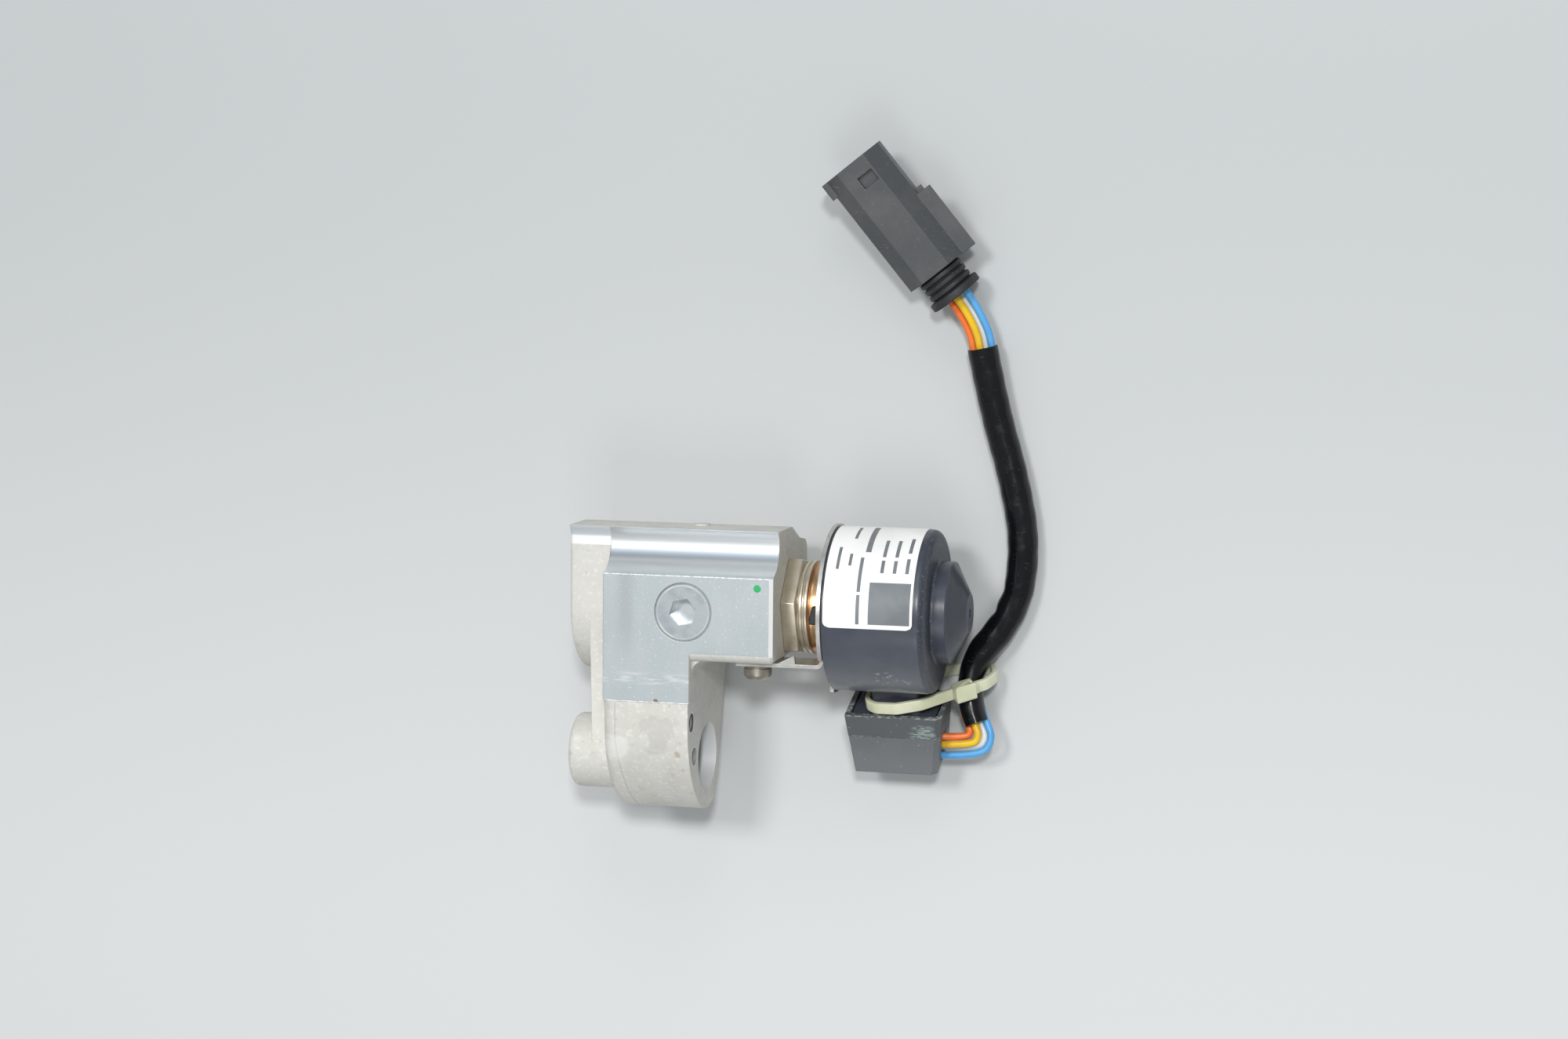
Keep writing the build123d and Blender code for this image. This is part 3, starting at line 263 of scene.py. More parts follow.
def wire_routes(out, front, aside, up, drop, bend):
    """A wire's points from the box into the sleeve, and from the plug into its far end."""
    route = np.array(SLEEVE_ROUTE)
    mouth_out, far_out = unit(route[0] - route[1]), unit(route[-1] - route[-2])
    mouth_side = unit(np.array((-mouth_out[1], mouth_out[0], 0.0)))
    far_side = unit(np.array((far_out[1], -far_out[0], 0.0)))
    mouth = route[0] + mouth_side * aside + np.cross(mouth_out, mouth_side) * up
    first = mouth + mouth_out * drop
    second = first + unit(mouth_out - ALONG) * bend
    box = AXIS_POINT + ALONG * WIRE_BOX_X + BOX_OUT * out + BOX_FRONT * front
    far = route[-1] + far_side * aside + np.cross(far_side, far_out) * up
    boot = PLUG_END + PLUG_SIDE * aside + PLUG_UP * up
    return (np.array((box, second, first, mouth)),
            np.array((boot, boot - PLUG_AXIS * WIRE_TAIL, far + far_out * WIRE_TAIL, far)))


def dressed_copy(node, slot, name=None):
    """A merged and smoothed copy of a CAD node that stands for it, in its slot's finish."""
    mesh = frame["nodes"][node].data.copy()
    mesh.name = name or node + "_dressed"
    mesh.materials.clear()
    tidy_mesh(mesh, 28.0)
    mesh.materials.append(MATERIALS[slot])
    piece = bpy.data.objects.new(mesh.name, mesh)
    bpy.context.scene.collection.objects.link(piece)
    settle(piece, slot, node, body=frame["nodes"][node]["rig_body"])


def settle(piece, slot, *nodes, body="valve"):
    """The piece rides on a body and stands for its nodes; its slot is not used."""
    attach(piece, body)
    if nodes:
        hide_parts(*nodes)


def put(thing, x_dir, y_dir, z_dir, point):
    """A camera or lamp turned to three directions at a point in millimetres."""
    columns = np.column_stack((x_dir, y_dir, z_dir, point * MM))
    thing.matrix_world = Matrix(np.vstack((columns, (0, 0, 0, 1))).tolist())
    bpy.context.scene.collection.objects.link(thing)


# Materials

def linear(code):
    """An sRGB hex value as linear red, green, blue and alpha."""
    parts = (int(code[i:i + 2], 16) / 255 for i in (1, 3, 5))
    return (*(c / 12.92 if c <= 0.04045 else ((c + 0.055) / 1.055) ** 2.4 for c in parts), 1.0)


def node(tree, kind, links=None, **settings):
    """Adds a node; settings name its properties, and links map its inputs to values or outputs."""
    made = tree.nodes.new("ShaderNode" + kind)
    for key, value in settings.items():
        setattr(made, key, value)
    for key, value in (links or {}).items():
        if isinstance(value, bpy.types.NodeSocket):
            tree.links.new(value, made.inputs[key])
        else:
            made.inputs[key].default_value = value
    return made


class Finish:
    """A material in the making: its tree, its shader and the object's coordinates in mm."""

    def __init__(self, name, colour, metallic=0.0, roughness=0.5, **shader):
        self.material = bpy.data.materials.new(name)
        self.material.use_nodes = True
        self.tree = self.material.node_tree
        self.shader = self.tree.nodes["Principled BSDF"]
        self.shader.inputs["Metallic"].default_value = metallic
        for key, value in shader.items():
            self.shader.inputs[key.replace("_", " ")].default_value = value
        place = node(self.tree, "TexCoord").outputs["Object"]
        self.at = node(self.tree, "VectorMath", {0: place, 1: (1000, 1000, 1000)},
                       operation="MULTIPLY").outputs[0]
        self.colour = node(self.tree, "RGB").outputs[0]
        self.colour.default_value = linear(colour)
        self.rough = node(self.tree, "Value").outputs[0]
        self.rough.default_value = roughness
        self.height = None

    def noise(self, size, detail=3.0, stretch=(1, 1, 1)):
        """Cloudy values whose blobs are about size millimetres wide."""
        moved = node(self.tree, "Mapping", {"Vector": self.at,
                                            "Scale": tuple(1 / (size * s) for s in stretch)})
        return node(self.tree, "TexNoise", {"Vector": moved.outputs[0], "Scale": 1.0,
                                            "Detail": detail, "Roughness": 0.55}).outputs["Fac"]

    def between(self, value, low, high, start=0.0, end=1.0):
        """The value carried from low..high to start..end, clamped and smooth."""
        return node(self.tree, "MapRange", {"Value": value, 1: low, 2: high, 3: start, 4: end},
                    interpolation_type="SMOOTHSTEP").outputs[0]

    def clouds(self, size, detail, low, high, amount=1.0):
        """Noise that rises from nothing to an amount between two of its values."""
        return self.between(self.noise(size, detail), low, high, 0, amount)

    def sums(self, operation, a, b):
        """One arithmetic step."""
        return node(self.tree, "Math", {0: a, 1: b}, operation=operation).outputs[0]

    def above(self, value, at):
        """One where a value is greater than a number."""
        return self.sums("GREATER_THAN", value, at)

    def below(self, value, at):
        """One where a value is less than a number."""
        return self.sums("LESS_THAN", value, at)

    def length(self, a, b):
        """The square root of a^2 + b^2."""
        return self.sums("SQRT", self.sums("ADD", self.sums("MULTIPLY", a, a),
                                           self.sums("MULTIPLY", b, b)), 0.0)

    def spot(self, point, radius, ragged=0.5):
        """One near a point, nothing beyond a radius, with a ragged rim."""
        away = node(self.tree, "VectorMath", {0: self.at, 1: point},
                    operation="DISTANCE").outputs[1]
        away = self.sums("ADD", away, self.all_of(self.noise(radius, 3), ragged * radius))
        rim = ragged / 2
        return self.between(away, radius * (0.7 + rim), radius * (1.1 + rim), 1.0, 0.0)

    def band(self, value, middle, half, soft=0.3):
        """One where a value lies within half of the middle."""
        away = self.sums("ABSOLUTE", self.sums("SUBTRACT", value, middle), 0.0)
        return self.between(away, half, half + soft, 1.0, 0.0)

    def all_of(self, *shares):
        """The product of shares."""
        product = shares[0]
        for share in shares[1:]:
            product = self.sums("MULTIPLY", product, share)
        return product

    def tint(self, share, code):
        """The colour so far mixed with another by a share."""
        mixed = node(self.tree, "Mix", {"Factor": share, 6: self.colour, 7: linear(code)},
                     data_type="RGBA")
        self.colour = mixed.outputs[2]

    def dull(self, share, roughness):
        """The roughness so far mixed with another by a share."""
        mixed = node(self.tree, "Mix", {"Factor": share, 2: self.rough, 3: roughness})
        self.rough = mixed.outputs[0]

    def relief(self, value, depth, strength=1.0):
        """A bump whose full range is depth millimetres."""
        links = {"Height": value, "Distance": depth * MM, "Strength": strength}
        if self.height is not None:
            links["Normal"] = self.height
        self.height = node(self.tree, "Bump", links).outputs[0]

    def soft_edges(self, radius):
        """Edges that look rounded to a radius in millimetres."""
        self.height = node(self.tree, "Bevel", {"Radius": radius * MM}, samples=6).outputs[0]

    def axis_values(self):
        """The three coordinates in millimetres."""
        return node(self.tree, "SeparateXYZ", {0: self.at}).outputs

    def done(self):
        """The finished material, with its colour, roughness and relief linked to the shader."""
        self.tree.links.new(self.colour, self.shader.inputs["Base Color"])
        self.tree.links.new(self.rough, self.shader.inputs["Roughness"])
        if self.height is not None:
            self.tree.links.new(self.height, self.shader.inputs["Normal"])
        return self.material


def block_finish():
    """Die-cast aluminium, warm and matte; the ridge with its cove and the bores are drawn smooth,
    and the pad is machined, cooler and smeared, with bright edges. Painted highlights, reflections
    and shade lie on the ridge, the arm's chamfer, the pad's edges, the port's bore and the lobe's
    holes."""
    f = Finish("Die-cast aluminium", "#D3D2CC", roughness=0.6)
    f.soft_edges(0.25)
    x, y, z = f.axis_values()
    above, below = f.above, f.below
    f.tint(f.clouds(6, 4, 0.42, 0.68, 0.45), "#C4C1B8")
    f.tint(f.clouds(0.9, 3, 0.52, 0.7, 0.5), "#E9E8E3")
    f.tint(f.clouds(2.2, 5, 0.62, 0.7, 0.35), "#A9A49A")
    # The parting line down the lobe leans outwards below its curve; a stain and two smudges
    lean = f.all_of(f.sums("MAXIMUM", f.sums("SUBTRACT", 5.0, y), 0.0), 0.1)
    seam = f.all_of(f.band(f.sums("SUBTRACT", x, lean), -15.15, 0.05, 0.22), below(y, PAD_LOW),
                    above(z, 1.0))
    f.tint(f.all_of(seam, 0.3), "#938F85")
    f.tint(f.all_of(f.spot((-2.3, 2.3, 14.8), 0.9, 1.2), 0.5), "#9A8A62")
    f.tint(f.all_of(f.spot((-15.0, 3.0, 14.6), 3.0, 1.2), 0.4), "#F4F3F0")
    f.tint(f.all_of(f.spot((-6.5, 7.0, 14.6), 4.0, 2.5), 0.35), "#AFADA7")

    # The machined pad, with a darker smear at its left, a rubbed line, a stain and bright rims of
    # painted highlight and scuffs
    pad = f.all_of(f.band(z, FACE_Z, 0.05, 0.02), above(y, PAD_LOW))
    metal = node(f.tree, "Mix", {"Factor": pad, 2: 0.1, 3: 0.5}).outputs[0]
    f.tint(pad, "#BDC6C9")
    smear = f.noise(5.0, 4, stretch=(1, 2.5, 1))
    f.tint(f.all_of(pad, f.between(smear, 0.45, 0.68, 0, 0.6)), "#C6CBCE")
    f.tint(f.all_of(pad, f.clouds(0.9, 5, 0.62, 0.7, 0.5)), "#DDE0E1")
    ragged = f.sums("ADD", y, f.all_of(smear, 12.0))
    f.tint(f.all_of(pad, f.band(x, -13.2, 0.2, 2.6), f.between(ragged, 26.0, 36.0), 0.28),
           "#989A9A")
    f.tint(f.all_of(pad, f.clouds(0.45, 4, 0.6, 0.68, 0.45)), "#EEF0F1")
    rub = f.between(f.noise(1.6, 4, stretch=(3, 0.5, 1)), 0.45, 0.6)
    f.tint(f.all_of(pad, f.band(y, 17.6, 0.5, 1.2), rub, 0.7), "#E2E5E6")
    f.tint(f.all_of(pad, f.spot((-6.8, 13.1, 14.4), 0.5, 1.0), 0.8), "#7E6238")
    # Painted highlight along the pad's upper and lower edges, broken up by scuffs
    wear_and_sheen = f.clouds(1.2, 4, 0.4, 0.55)
    rims = f.sums("MAXIMUM", f.band(y, PAD_HIGH, 0.12, 0.15), f.band(y, PAD_LOW + 0.2, 0.1, 0.12))
    f.tint(f.all_of(pad, rims, wear_and_sheen, 0.8), "#F6F7F7")
    f.dull(pad, 0.4)
    # Painted highlight on the chamfer at the arm's end
    end = f.all_of(f.band(f.sums("ADD", x, z), 30.9, 0.12, 0.15), above(x, 16.3), above(y, 21.0))
    f.tint(end, "#F8F8F6")

    # The smooth ridge and its cove, cast at its left end's foot, and the lower port's bore
    front = f.all_of(above(y, PAD_HIGH + 0.02), above(z, RIDGE_BACK_Z), below(z, FACE_Z - 0.04),
                     below(x, RIDGE_RIGHT),
                     f.sums("MAXIMUM", above(x, PAD_LEFT), above(y, RIDGE_CAST_Y)))
    bore = f.all_of(below(f.length(y, z), PORT_R + 0.05), below(x, -0.02),
                    above(x, -0.02 - PORT_DEPTH))
    smooth = f.sums("MAXIMUM", front, bore)
    drawn = f.noise(1.4, 3, stretch=(14, 0.6, 0.6))
    f.tint(smooth, "#D8DCDE")
    f.tint(f.all_of(smooth, f.between(drawn, 0.45, 0.65, 0, 0.25)), "#C2C8CC")
    # Painted reflection: a dark blue-grey band along the ridge's cove
    f.tint(f.all_of(front, f.band(y, 42.3, 0.5, 1.1), 0.8), "#8A95A0")
    # Painted highlight: the ridge's left end made white, with a bluish band of painted reflection
    # above it
    left_end = f.all_of(front, below(x, PAD_LEFT))
    f.tint(f.all_of(left_end, below(y, 45.3), 0.8), "#FFFFFF")
    f.tint(f.all_of(left_end, f.band(y, 46.2, 0.5, 0.3), 0.5), "#B4C0CB")
    f.dull(smooth, 0.42)
    f.tint(f.all_of(bore, 0.7), "#F9FAFA")
    # Painted shade: a dark band deep inside the port's bore
    f.tint(f.all_of(bore, f.band(x, -5.6, 1.9, 1.0), 0.75), "#565A5E")
    paler = f.all_of(f.sums("MAXIMUM", bore, left_end), 0.55)
    metal = f.sums("MAXIMUM", metal, f.all_of(smooth, f.sums("SUBTRACT", 0.8, paler)))
    # The lobe's holes: painted shade greys the wall and draws thread lines at an M4 screw's pitch,
    # and a painted highlight makes the bright rim
    for hole_y, hole_z, hole_r, depth, threaded in LOBE_HOLES:
        away = f.length(f.sums("SUBTRACT", y, hole_y), f.sums("SUBTRACT", z, hole_z))
        wall = f.all_of(below(away, hole_r + 0.03), below(x, -0.02), above(x, -0.02 - depth))
        f.tint(f.all_of(wall, 0.8), "#9A9C9C")
        turns = f.band(f.sums("PINGPONG", x, 0.35), 0.35, 0.1, 0.1)
        f.tint(f.all_of(wall, turns, threaded), "#4C4E50")
        f.tint(f.all_of(f.band(away, hole_r + 0.12, 0.05, 0.08), f.band(x, 0.0, 0.01, 0.02), 0.6),
               "#F6F6F4")
    f.tree.links.new(metal, f.shader.inputs["Metallic"])
    cast = f.sums("SUBTRACT", 1.0, f.sums("MAXIMUM", pad, smooth))
    f.relief(f.noise(0.35, 2), 0.03, cast)
    return f.done()


def turned_metal(name, colour, second, roughness, edges=0.15, metallic=1.0):
    """Turned and plated metal: fine rings round the axis and a slow change of tone."""
    f = Finish(name, colour, metallic=metallic, roughness=roughness)
    f.soft_edges(edges)
    f.tint(f.clouds(4, 3, 0.4, 0.7, 0.7), second)
    f.dull(f.clouds(1.2, 3, 0.45, 0.75, 0.5), roughness + 0.2)
    f.relief(f.noise(0.35, 2, stretch=(1, 40, 40)), 0.004)
    return f.done()


def service_plug_finish():
    """Turned aluminium: a bright ring near the rim, painted highlight and scuffs, and a paler
    socket with a dark edge of painted shade.
    """
    f = Finish("Turned aluminium", "#C4CBCF", metallic=0.75, roughness=0.36)
    x, y, z = f.axis_values()
    radial = f.length(f.sums("SUBTRACT", x, SERVICE_X), f.sums("SUBTRACT", y, AXIS_Y))
    f.tint(f.clouds(2.5, 4, 0.42, 0.68, 0.7), "#AEB7BD")
    # Painted highlight on a ring near the rim, broken up by scuffs
    wear_and_highlight = f.between(f.noise(5.0, 2), 0.42, 0.6, 0.25, 0.85)
    f.tint(f.all_of(f.band(radial, 5.35, 0.08, 0.18), wear_and_highlight), "#F4F6F7")
    f.tint(f.all_of(f.below(z, FACE_Z - 0.05), 0.6), "#E2E6E7")
    # Painted shade on the upper part of the socket's wall
    f.tint(f.all_of(f.band(z, FACE_Z - 0.45, 0.35, 0.1), f.below(radial, 3.2), 0.7), "#6E757B")
    f.tint(f.clouds(0.5, 4, 0.62, 0.7, 0.5), "#E8EBEC")
    f.relief(f.noise(0.35, 2, stretch=(40, 40, 1)), 0.004)
    return f.done()


def can_finish():
    """Stainless can, drawn and welded: straw and copper heat tint that fades along it."""
    f = Finish("Heat-tinted stainless steel", "#C7AE88", metallic=1.0, roughness=0.3)
    x, _, _ = f.axis_values()
    patch = f.noise(3.5, 3, stretch=(0.5, 1, 1))
    bronze = f.sums("ADD", x, f.all_of(patch, 2.5))
    f.tint(f.between(bronze, 23.4, 25.6, 1.0, 0.0), "#B98F68")
    f.tint(f.between(patch, 0.55, 0.75, 0, 0.6), "#D6C6A8")
    f.tint(f.all_of(f.band(x, COLLAR_END + 0.3, 0.15, 0.3), 0.7), "#A8693F")
    f.relief(f.noise(0.3, 2, stretch=(1, 30, 30)), 0.004)
    return f.done()


def moulded(name, colour, second, roughness, grain=0.25, depth=0.006, edges=0.0, dust=0.3,
            dust_colour="#8C9096", **shader):
    """A moulded plastic: fine grain, slow change of tone, dust caught in specks and scuffs."""
    f = Finish(name, colour, roughness=roughness, **shader)
    if edges:
        f.soft_edges(edges)
    f.tint(f.clouds(9, 3, 0.4, 0.65, 0.8), second)
    specks = f.clouds(0.45, 1, 0.72, 0.76, dust)
    f.tint(specks, dust_colour)
    scuffs = f.between(f.noise(2.0, 5, stretch=(1.0, 0.3, 1.0)), 0.66, 0.72, 0, dust)
    f.tint(scuffs, dust_colour)
    f.dull(f.clouds(3, 3, 0.45, 0.7), roughness + 0.14)
    f.relief(f.noise(grain, 2), depth)
    return f.done()


def coil_finish():
    """Glass-filled nylon: charcoal blue with a satin skin, paler low down where light is painted,
    and rubbed to light specks along its front rim, with painted shade on the rim and the cone and
    painted light on the tip."""
    f = Finish("Glass-filled nylon, charcoal", "#3C414D", roughness=0.3)
    x, y, _ = f.axis_values()
    f.tint(f.clouds(9, 3, 0.4, 0.65, 0.6), "#484D58")
    # Painted light: the round side paler towards its lower edge
    painted_light_y = f.sums("ADD", y, f.all_of(f.noise(4, 2), 3.0))
    round_side = f.all_of(f.above(y, AXIS_Y - COIL_R - 0.1), f.below(x, 47.0))
    f.tint(f.all_of(f.between(painted_light_y, 17.0, 31.0, 1.0, 0.0), round_side, 0.75), "#72767C")
    rim = f.all_of(f.band(x, 46.9, 0.35, 0.8), f.above(y, 14.0))
    f.tint(f.all_of(rim, f.clouds(0.5, 3, 0.6, 0.66), 0.55), "#9DA1A6")
    scuff = f.between(f.noise(0.7, 4, stretch=(1.6, 0.6, 1)), 0.56, 0.62)
    for place, size in (((38.5, 19.0, 9.0), 2.6), ((42.0, 18.5, 8.5), 2.0),
                        ((52.0, 27.5, 7.0), 1.6), ((46.3, 31.5, 12.5), 1.0)):
        f.tint(f.all_of(f.spot(place, size), scuff, 0.7), "#A2A7AB")
    # The front: painted shade on the rim and the cone, and painted light on the flat tip
    shaded_front_rim = f.band(x, 46.8, 0.6, 0.3)
    f.tint(f.all_of(shaded_front_rim, 0.5), "#2C3039")
    f.tint(f.all_of(f.band(x, 52.0, 1.5, 0.1), 0.55), "#23262D")
    f.tint(f.all_of(f.band(x, 53.6, 0.03, 0.02), 0.6), "#767C85")
    f.dull(f.clouds(3, 3, 0.45, 0.7), 0.42)
    f.dull(shaded_front_rim, 0.44)
    f.relief(f.noise(0.25, 2), 0.005)
    return f.done()


def box_finish():
    """Grey moulding: the band above the step darker, a green salt smear and pale specks."""
    f = Finish("Grey polyester moulding", "#65696C", roughness=0.4)
    f.soft_edges(0.22)
    x, y, z = f.axis_values()
    out = f.sums("ADD", f.all_of(f.sums("SUBTRACT", y, AXIS_Y), float(BOX_OUT[1])),
                 f.all_of(f.sums("SUBTRACT", z, AXIS_Z), float(BOX_OUT[2])))
    f.tint(f.clouds(7, 3, 0.4, 0.65, 0.5), "#6B6F71")
    f.tint(f.between(out, 26.2, 33.0, 0, 0.5), "#787B7C")
    f.tint(f.all_of(f.below(out, BOX_STEP), 0.55), "#43474B")
    cloud = f.noise(1.6, 5, stretch=(2.0, 0.7, 1))
    wander = f.all_of(f.sums("SUBTRACT", cloud, 0.5), 4.5)
    place = [f.sums("ADD", value, wander) for value in (x, out)]
    salt = f.all_of(f.band(place[0], 43.6, 1.6, 1.4), f.band(place[1], 24.1, 0.8, 0.9))
    f.tint(f.all_of(salt, f.between(f.noise(0.5, 4, stretch=(3.0, 0.6, 1)), 0.4, 0.6, 0.0, 0.6)),
           "#A9BDB5")
    f.tint(f.all_of(f.clouds(0.4, 1, 0.74, 0.77), 0.5), "#C9CECB")
    # Painted highlight and scuffs on the edges at the step and the open end
    wear_and_sheen = f.clouds(0.8, 4, 0.45, 0.6)
    edges = f.sums("MAXIMUM", f.band(out, BOX_STEP, 0.06, 0.12), f.band(out, BOX_OPEN, 0.1, 0.2))
    f.tint(f.all_of(edges, wear_and_sheen, 0.6), "#B4B9B9")
    f.dull(f.clouds(2, 3, 0.45, 0.7), 0.55)
    f.relief(f.noise(0.5, 2), 0.01)
    return f.done()


MATERIALS = {}


def make_materials():
    """Every finish of the part, by the record's slot."""
    m = MATERIALS
    m["cast_aluminium"] = block_finish()
    m["machined_aluminium"] = service_plug_finish()
    m["nickel_plated_brass"] = turned_metal("Nickel-plated brass", "#CDC4B1", "#B9AD98", 0.3,
                                            metallic=0.75)
    m["can_steel"] = can_finish()
    m["bracket_steel"] = turned_metal("Stainless sheet", "#D2D1CD", "#B8B6B1", 0.34, edges=0.1,
                                       metallic=0.85)
    m["screw_steel"] = turned_metal("Zinc-plated steel", "#B9B5A9", "#958F82", 0.38, edges=0.12)
    m["yoke_steel"] = turned_metal("Plated yoke steel", "#A3A5A6", "#8B8D8E", 0.4)
    m["needle_steel"] = turned_metal("Ground steel", "#B8B8B8", "#A0A0A0", 0.25)
    m["spring_steel"] = turned_metal("Spring wire", "#9B9B9D", "#7E7E80", 0.3)
    m["magnet_ferrite"] = moulded("Sintered ferrite", "#3A3A3D", "#303033", 0.6, dust=0.1)
    m["winding_copper"] = turned_metal("Enamelled copper", "#B5653A", "#8F4A28", 0.35)
    m["pin_metal"] = turned_metal("Tinned brass", "#CFC6A8", "#B2A888", 0.3, edges=0.08)
    m["coil_plastic"] = coil_finish()
    m["cover_plastic"] = box_finish()
    m["potting_resin"] = moulded("Black potting resin", "#15171B", "#1C1E22", 0.12, dust=0.1)
    m["guide_plastic"] = moulded("Natural acetal", "#E2DFD6", "#D6D2C6", 0.4, dust=0.05)
    m["seat_plastic"] = moulded("Natural fluoropolymer", "#ECEAE4", "#E2E0DA", 0.4, dust=0.05)
    m["seal_rubber"] = moulded("Chloroprene rubber", "#232323", "#2A2A2A", 0.6, dust=0.1)
    m["label_film"] = moulded("White polyester film", "#FBFBFA", "#F4F4F2", 0.38, depth=0.002,
                              dust=0.12, dust_colour="#BFC2C2")
    m["tie_nylon"] = moulded("Natural nylon", "#DDDFC4", "#CDD0AC", 0.3, dust=0.05)
    m["sleeve_vinyl"] = moulded("Black vinyl tube", "#0B0C0E", "#111215", 0.17, grain=2.2,
                                depth=0.035, dust=0.12, Specular_IOR_Level=0.4)
    m["boot_rubber"] = moulded("Black silicone rubber", "#232426", "#2C2D2F", 0.5, dust=0.25)
    m["plug_plastic"] = moulded("Black polyamide", "#474A4C", "#525455", 0.4, grain=0.4,
                                depth=0.012, edges=0.35, dust=0.5, dust_colour="#807A70")
    for name, colour, second in (
            ("orange", "#EF7432", "#E8803A"), ("yellow", "#F0C21A", "#DDB12F"),
            ("white", "#F2F2F0", "#E8E8E4"), ("blue", "#5BAAE6", "#4F97D0")):
        m["wire_" + name] = moulded(name.capitalize() + " vinyl", colour, second, 0.3, dust=0.05)
    m["label_print"] = moulded("Grey label print", "#6F7478", "#7C8185", 0.5, dust=0.1)
    m["paint_green"] = moulded("Green paint", "#2BAF68", "#34BC74", 0.4, dust=0.05)


# Settings

class ValveSettings(bpy.types.PropertyGroup):
    """Sizes and colours that a user would change."""

    label_turn: FloatProperty(
        name="Label turn", description="How far round the coil the label reaches, from the front",
        default=math.radians(100.0), subtype="ANGLE")
    label_low: FloatProperty(
        name="Label lower edge", description="Where the label's lower edge lies, from the front",
        default=math.radians(-6.0), subtype="ANGLE")
    dot_radius: FloatProperty(
        name="Paint dot", description="Radius of the paint dot on the pad",
        default=0.8 * MM, unit="LENGTH")
    floor_colour: FloatVectorProperty(
        name="Floor", description="Colour of the table", default=linear("#BABEBF")[:3],
        subtype="COLOR")


# Operators

class VALVE_OT_stage(bpy.types.Operator):
    """The camera, the pale table and the studio lights"""
    bl_idname = "valve.stage"
    bl_label = "Stage"

    def execute(self, context):
        scene = context.scene
        scene.view_settings.view_transform = "Standard"
        # The photograph: its size, where the frame's origin shows in it, and its scale
        photo_wide, photo_high, origin_x, origin_y = 2000.0, 1325.0, 902.3, 963.3
        distance, pixels_per_mm, sensor = 613.0, 6.25, 36.0
        turn, pitch, roll = (math.radians(a) for a in (13.93, 5.82, 0.54))
        toward = np.array((math.sin(turn) * math.cos(pitch), math.sin(pitch),
                           math.cos(turn) * math.cos(pitch)))
        level = np.array((math.cos(turn), 0.0, -math.sin(turn)))
        rise = np.cross(toward, level)
        right = level * math.cos(roll) + rise * math.sin(roll)
        top = -level * math.sin(roll) + rise * math.cos(roll)
        aside = (origin_x - photo_wide / 2) / pixels_per_mm
        lift = (photo_high / 2 - origin_y) / pixels_per_mm
        eye = -right * aside - top * lift + toward * distance
        data = bpy.data.cameras.new("Camera")
        data.sensor_width = sensor
        data.lens = pixels_per_mm * distance / photo_wide * sensor
        data.clip_start, data.clip_end = 0.01, 20.0
        camera = bpy.data.objects.new("Camera", data)
        put(camera, right, top, toward, eye)
        scene.camera = camera

        colour = (*context.scene.valve.floor_colour, 1.0)
        table = bpy.data.materials.new("Pale laminate")
        table.use_nodes = True
        shader = table.node_tree.nodes["Principled BSDF"]
        shader.inputs["Roughness"].default_value = 0.55
        # Painted light: the table paler towards low Y, the bottom of the view
        place = node(table.node_tree, "TexCoord").outputs["Object"]
        height = node(table.node_tree, "SeparateXYZ", {0: place}).outputs["Y"]
        low = node(table.node_tree, "MapRange",
                   {"Value": height, 1: 0.15, 2: -0.07, 3: 0.0, 4: 1.0},
                   interpolation_type="SMOOTHSTEP").outputs[0]
        painted_light_ramp = node(table.node_tree, "Mix", {"Factor": low, 6: colour, 7: linear("#D5D8D8")},
                    data_type="RGBA")
        table.node_tree.links.new(painted_light_ramp.outputs[2], shader.inputs["Base Color"])
        reach = 1500.0
        floor = mesh_piece("floor", [(-reach, -reach, FLOOR_Z), (reach, -reach, FLOOR_Z),
                                     (reach, reach, FLOOR_Z), (-reach, reach, FLOOR_Z)],
                           [[0, 1, 2, 3]], table)

        world = bpy.data.worlds.new("Studio")
        scene.world = world
        world.use_nodes = True
        back = world.node_tree.nodes["Background"]
        back.inputs["Color"].default_value = (0.96, 0.985, 1.0, 1.0)
        back.inputs["Strength"].default_value = 0.34
        centre = np.array((22.0, 45.0, 0.0))
        # Direction from the valve, distance and size in mm, and watts
        for name, offset, away, size, watts in (
                ("Flash", (0.24, 0.34, 1.0), 1300.0, 130.0, 6.6),
                ("Left", (-0.26, 0.36, 1.0), 1300.0, 240.0, 5.4),
                ("Low", (0.1, -0.6, 1.0), 1200.0, 500.0, 2.2),
                ("Top", (0.1, 1.0, 0.75), 1100.0, 420.0, 1.2)):
            lamp = bpy.data.lights.new(name, "AREA")
            lamp.size = size * MM
            lamp.energy = watts
            z_dir = unit(np.array(offset))
            x_dir = unit(np.cross(ACROSS, z_dir))
            put(bpy.data.objects.new(name, lamp), x_dir, np.cross(z_dir, x_dir), z_dir,
                centre + z_dir * away)
        return {"FINISHED"}


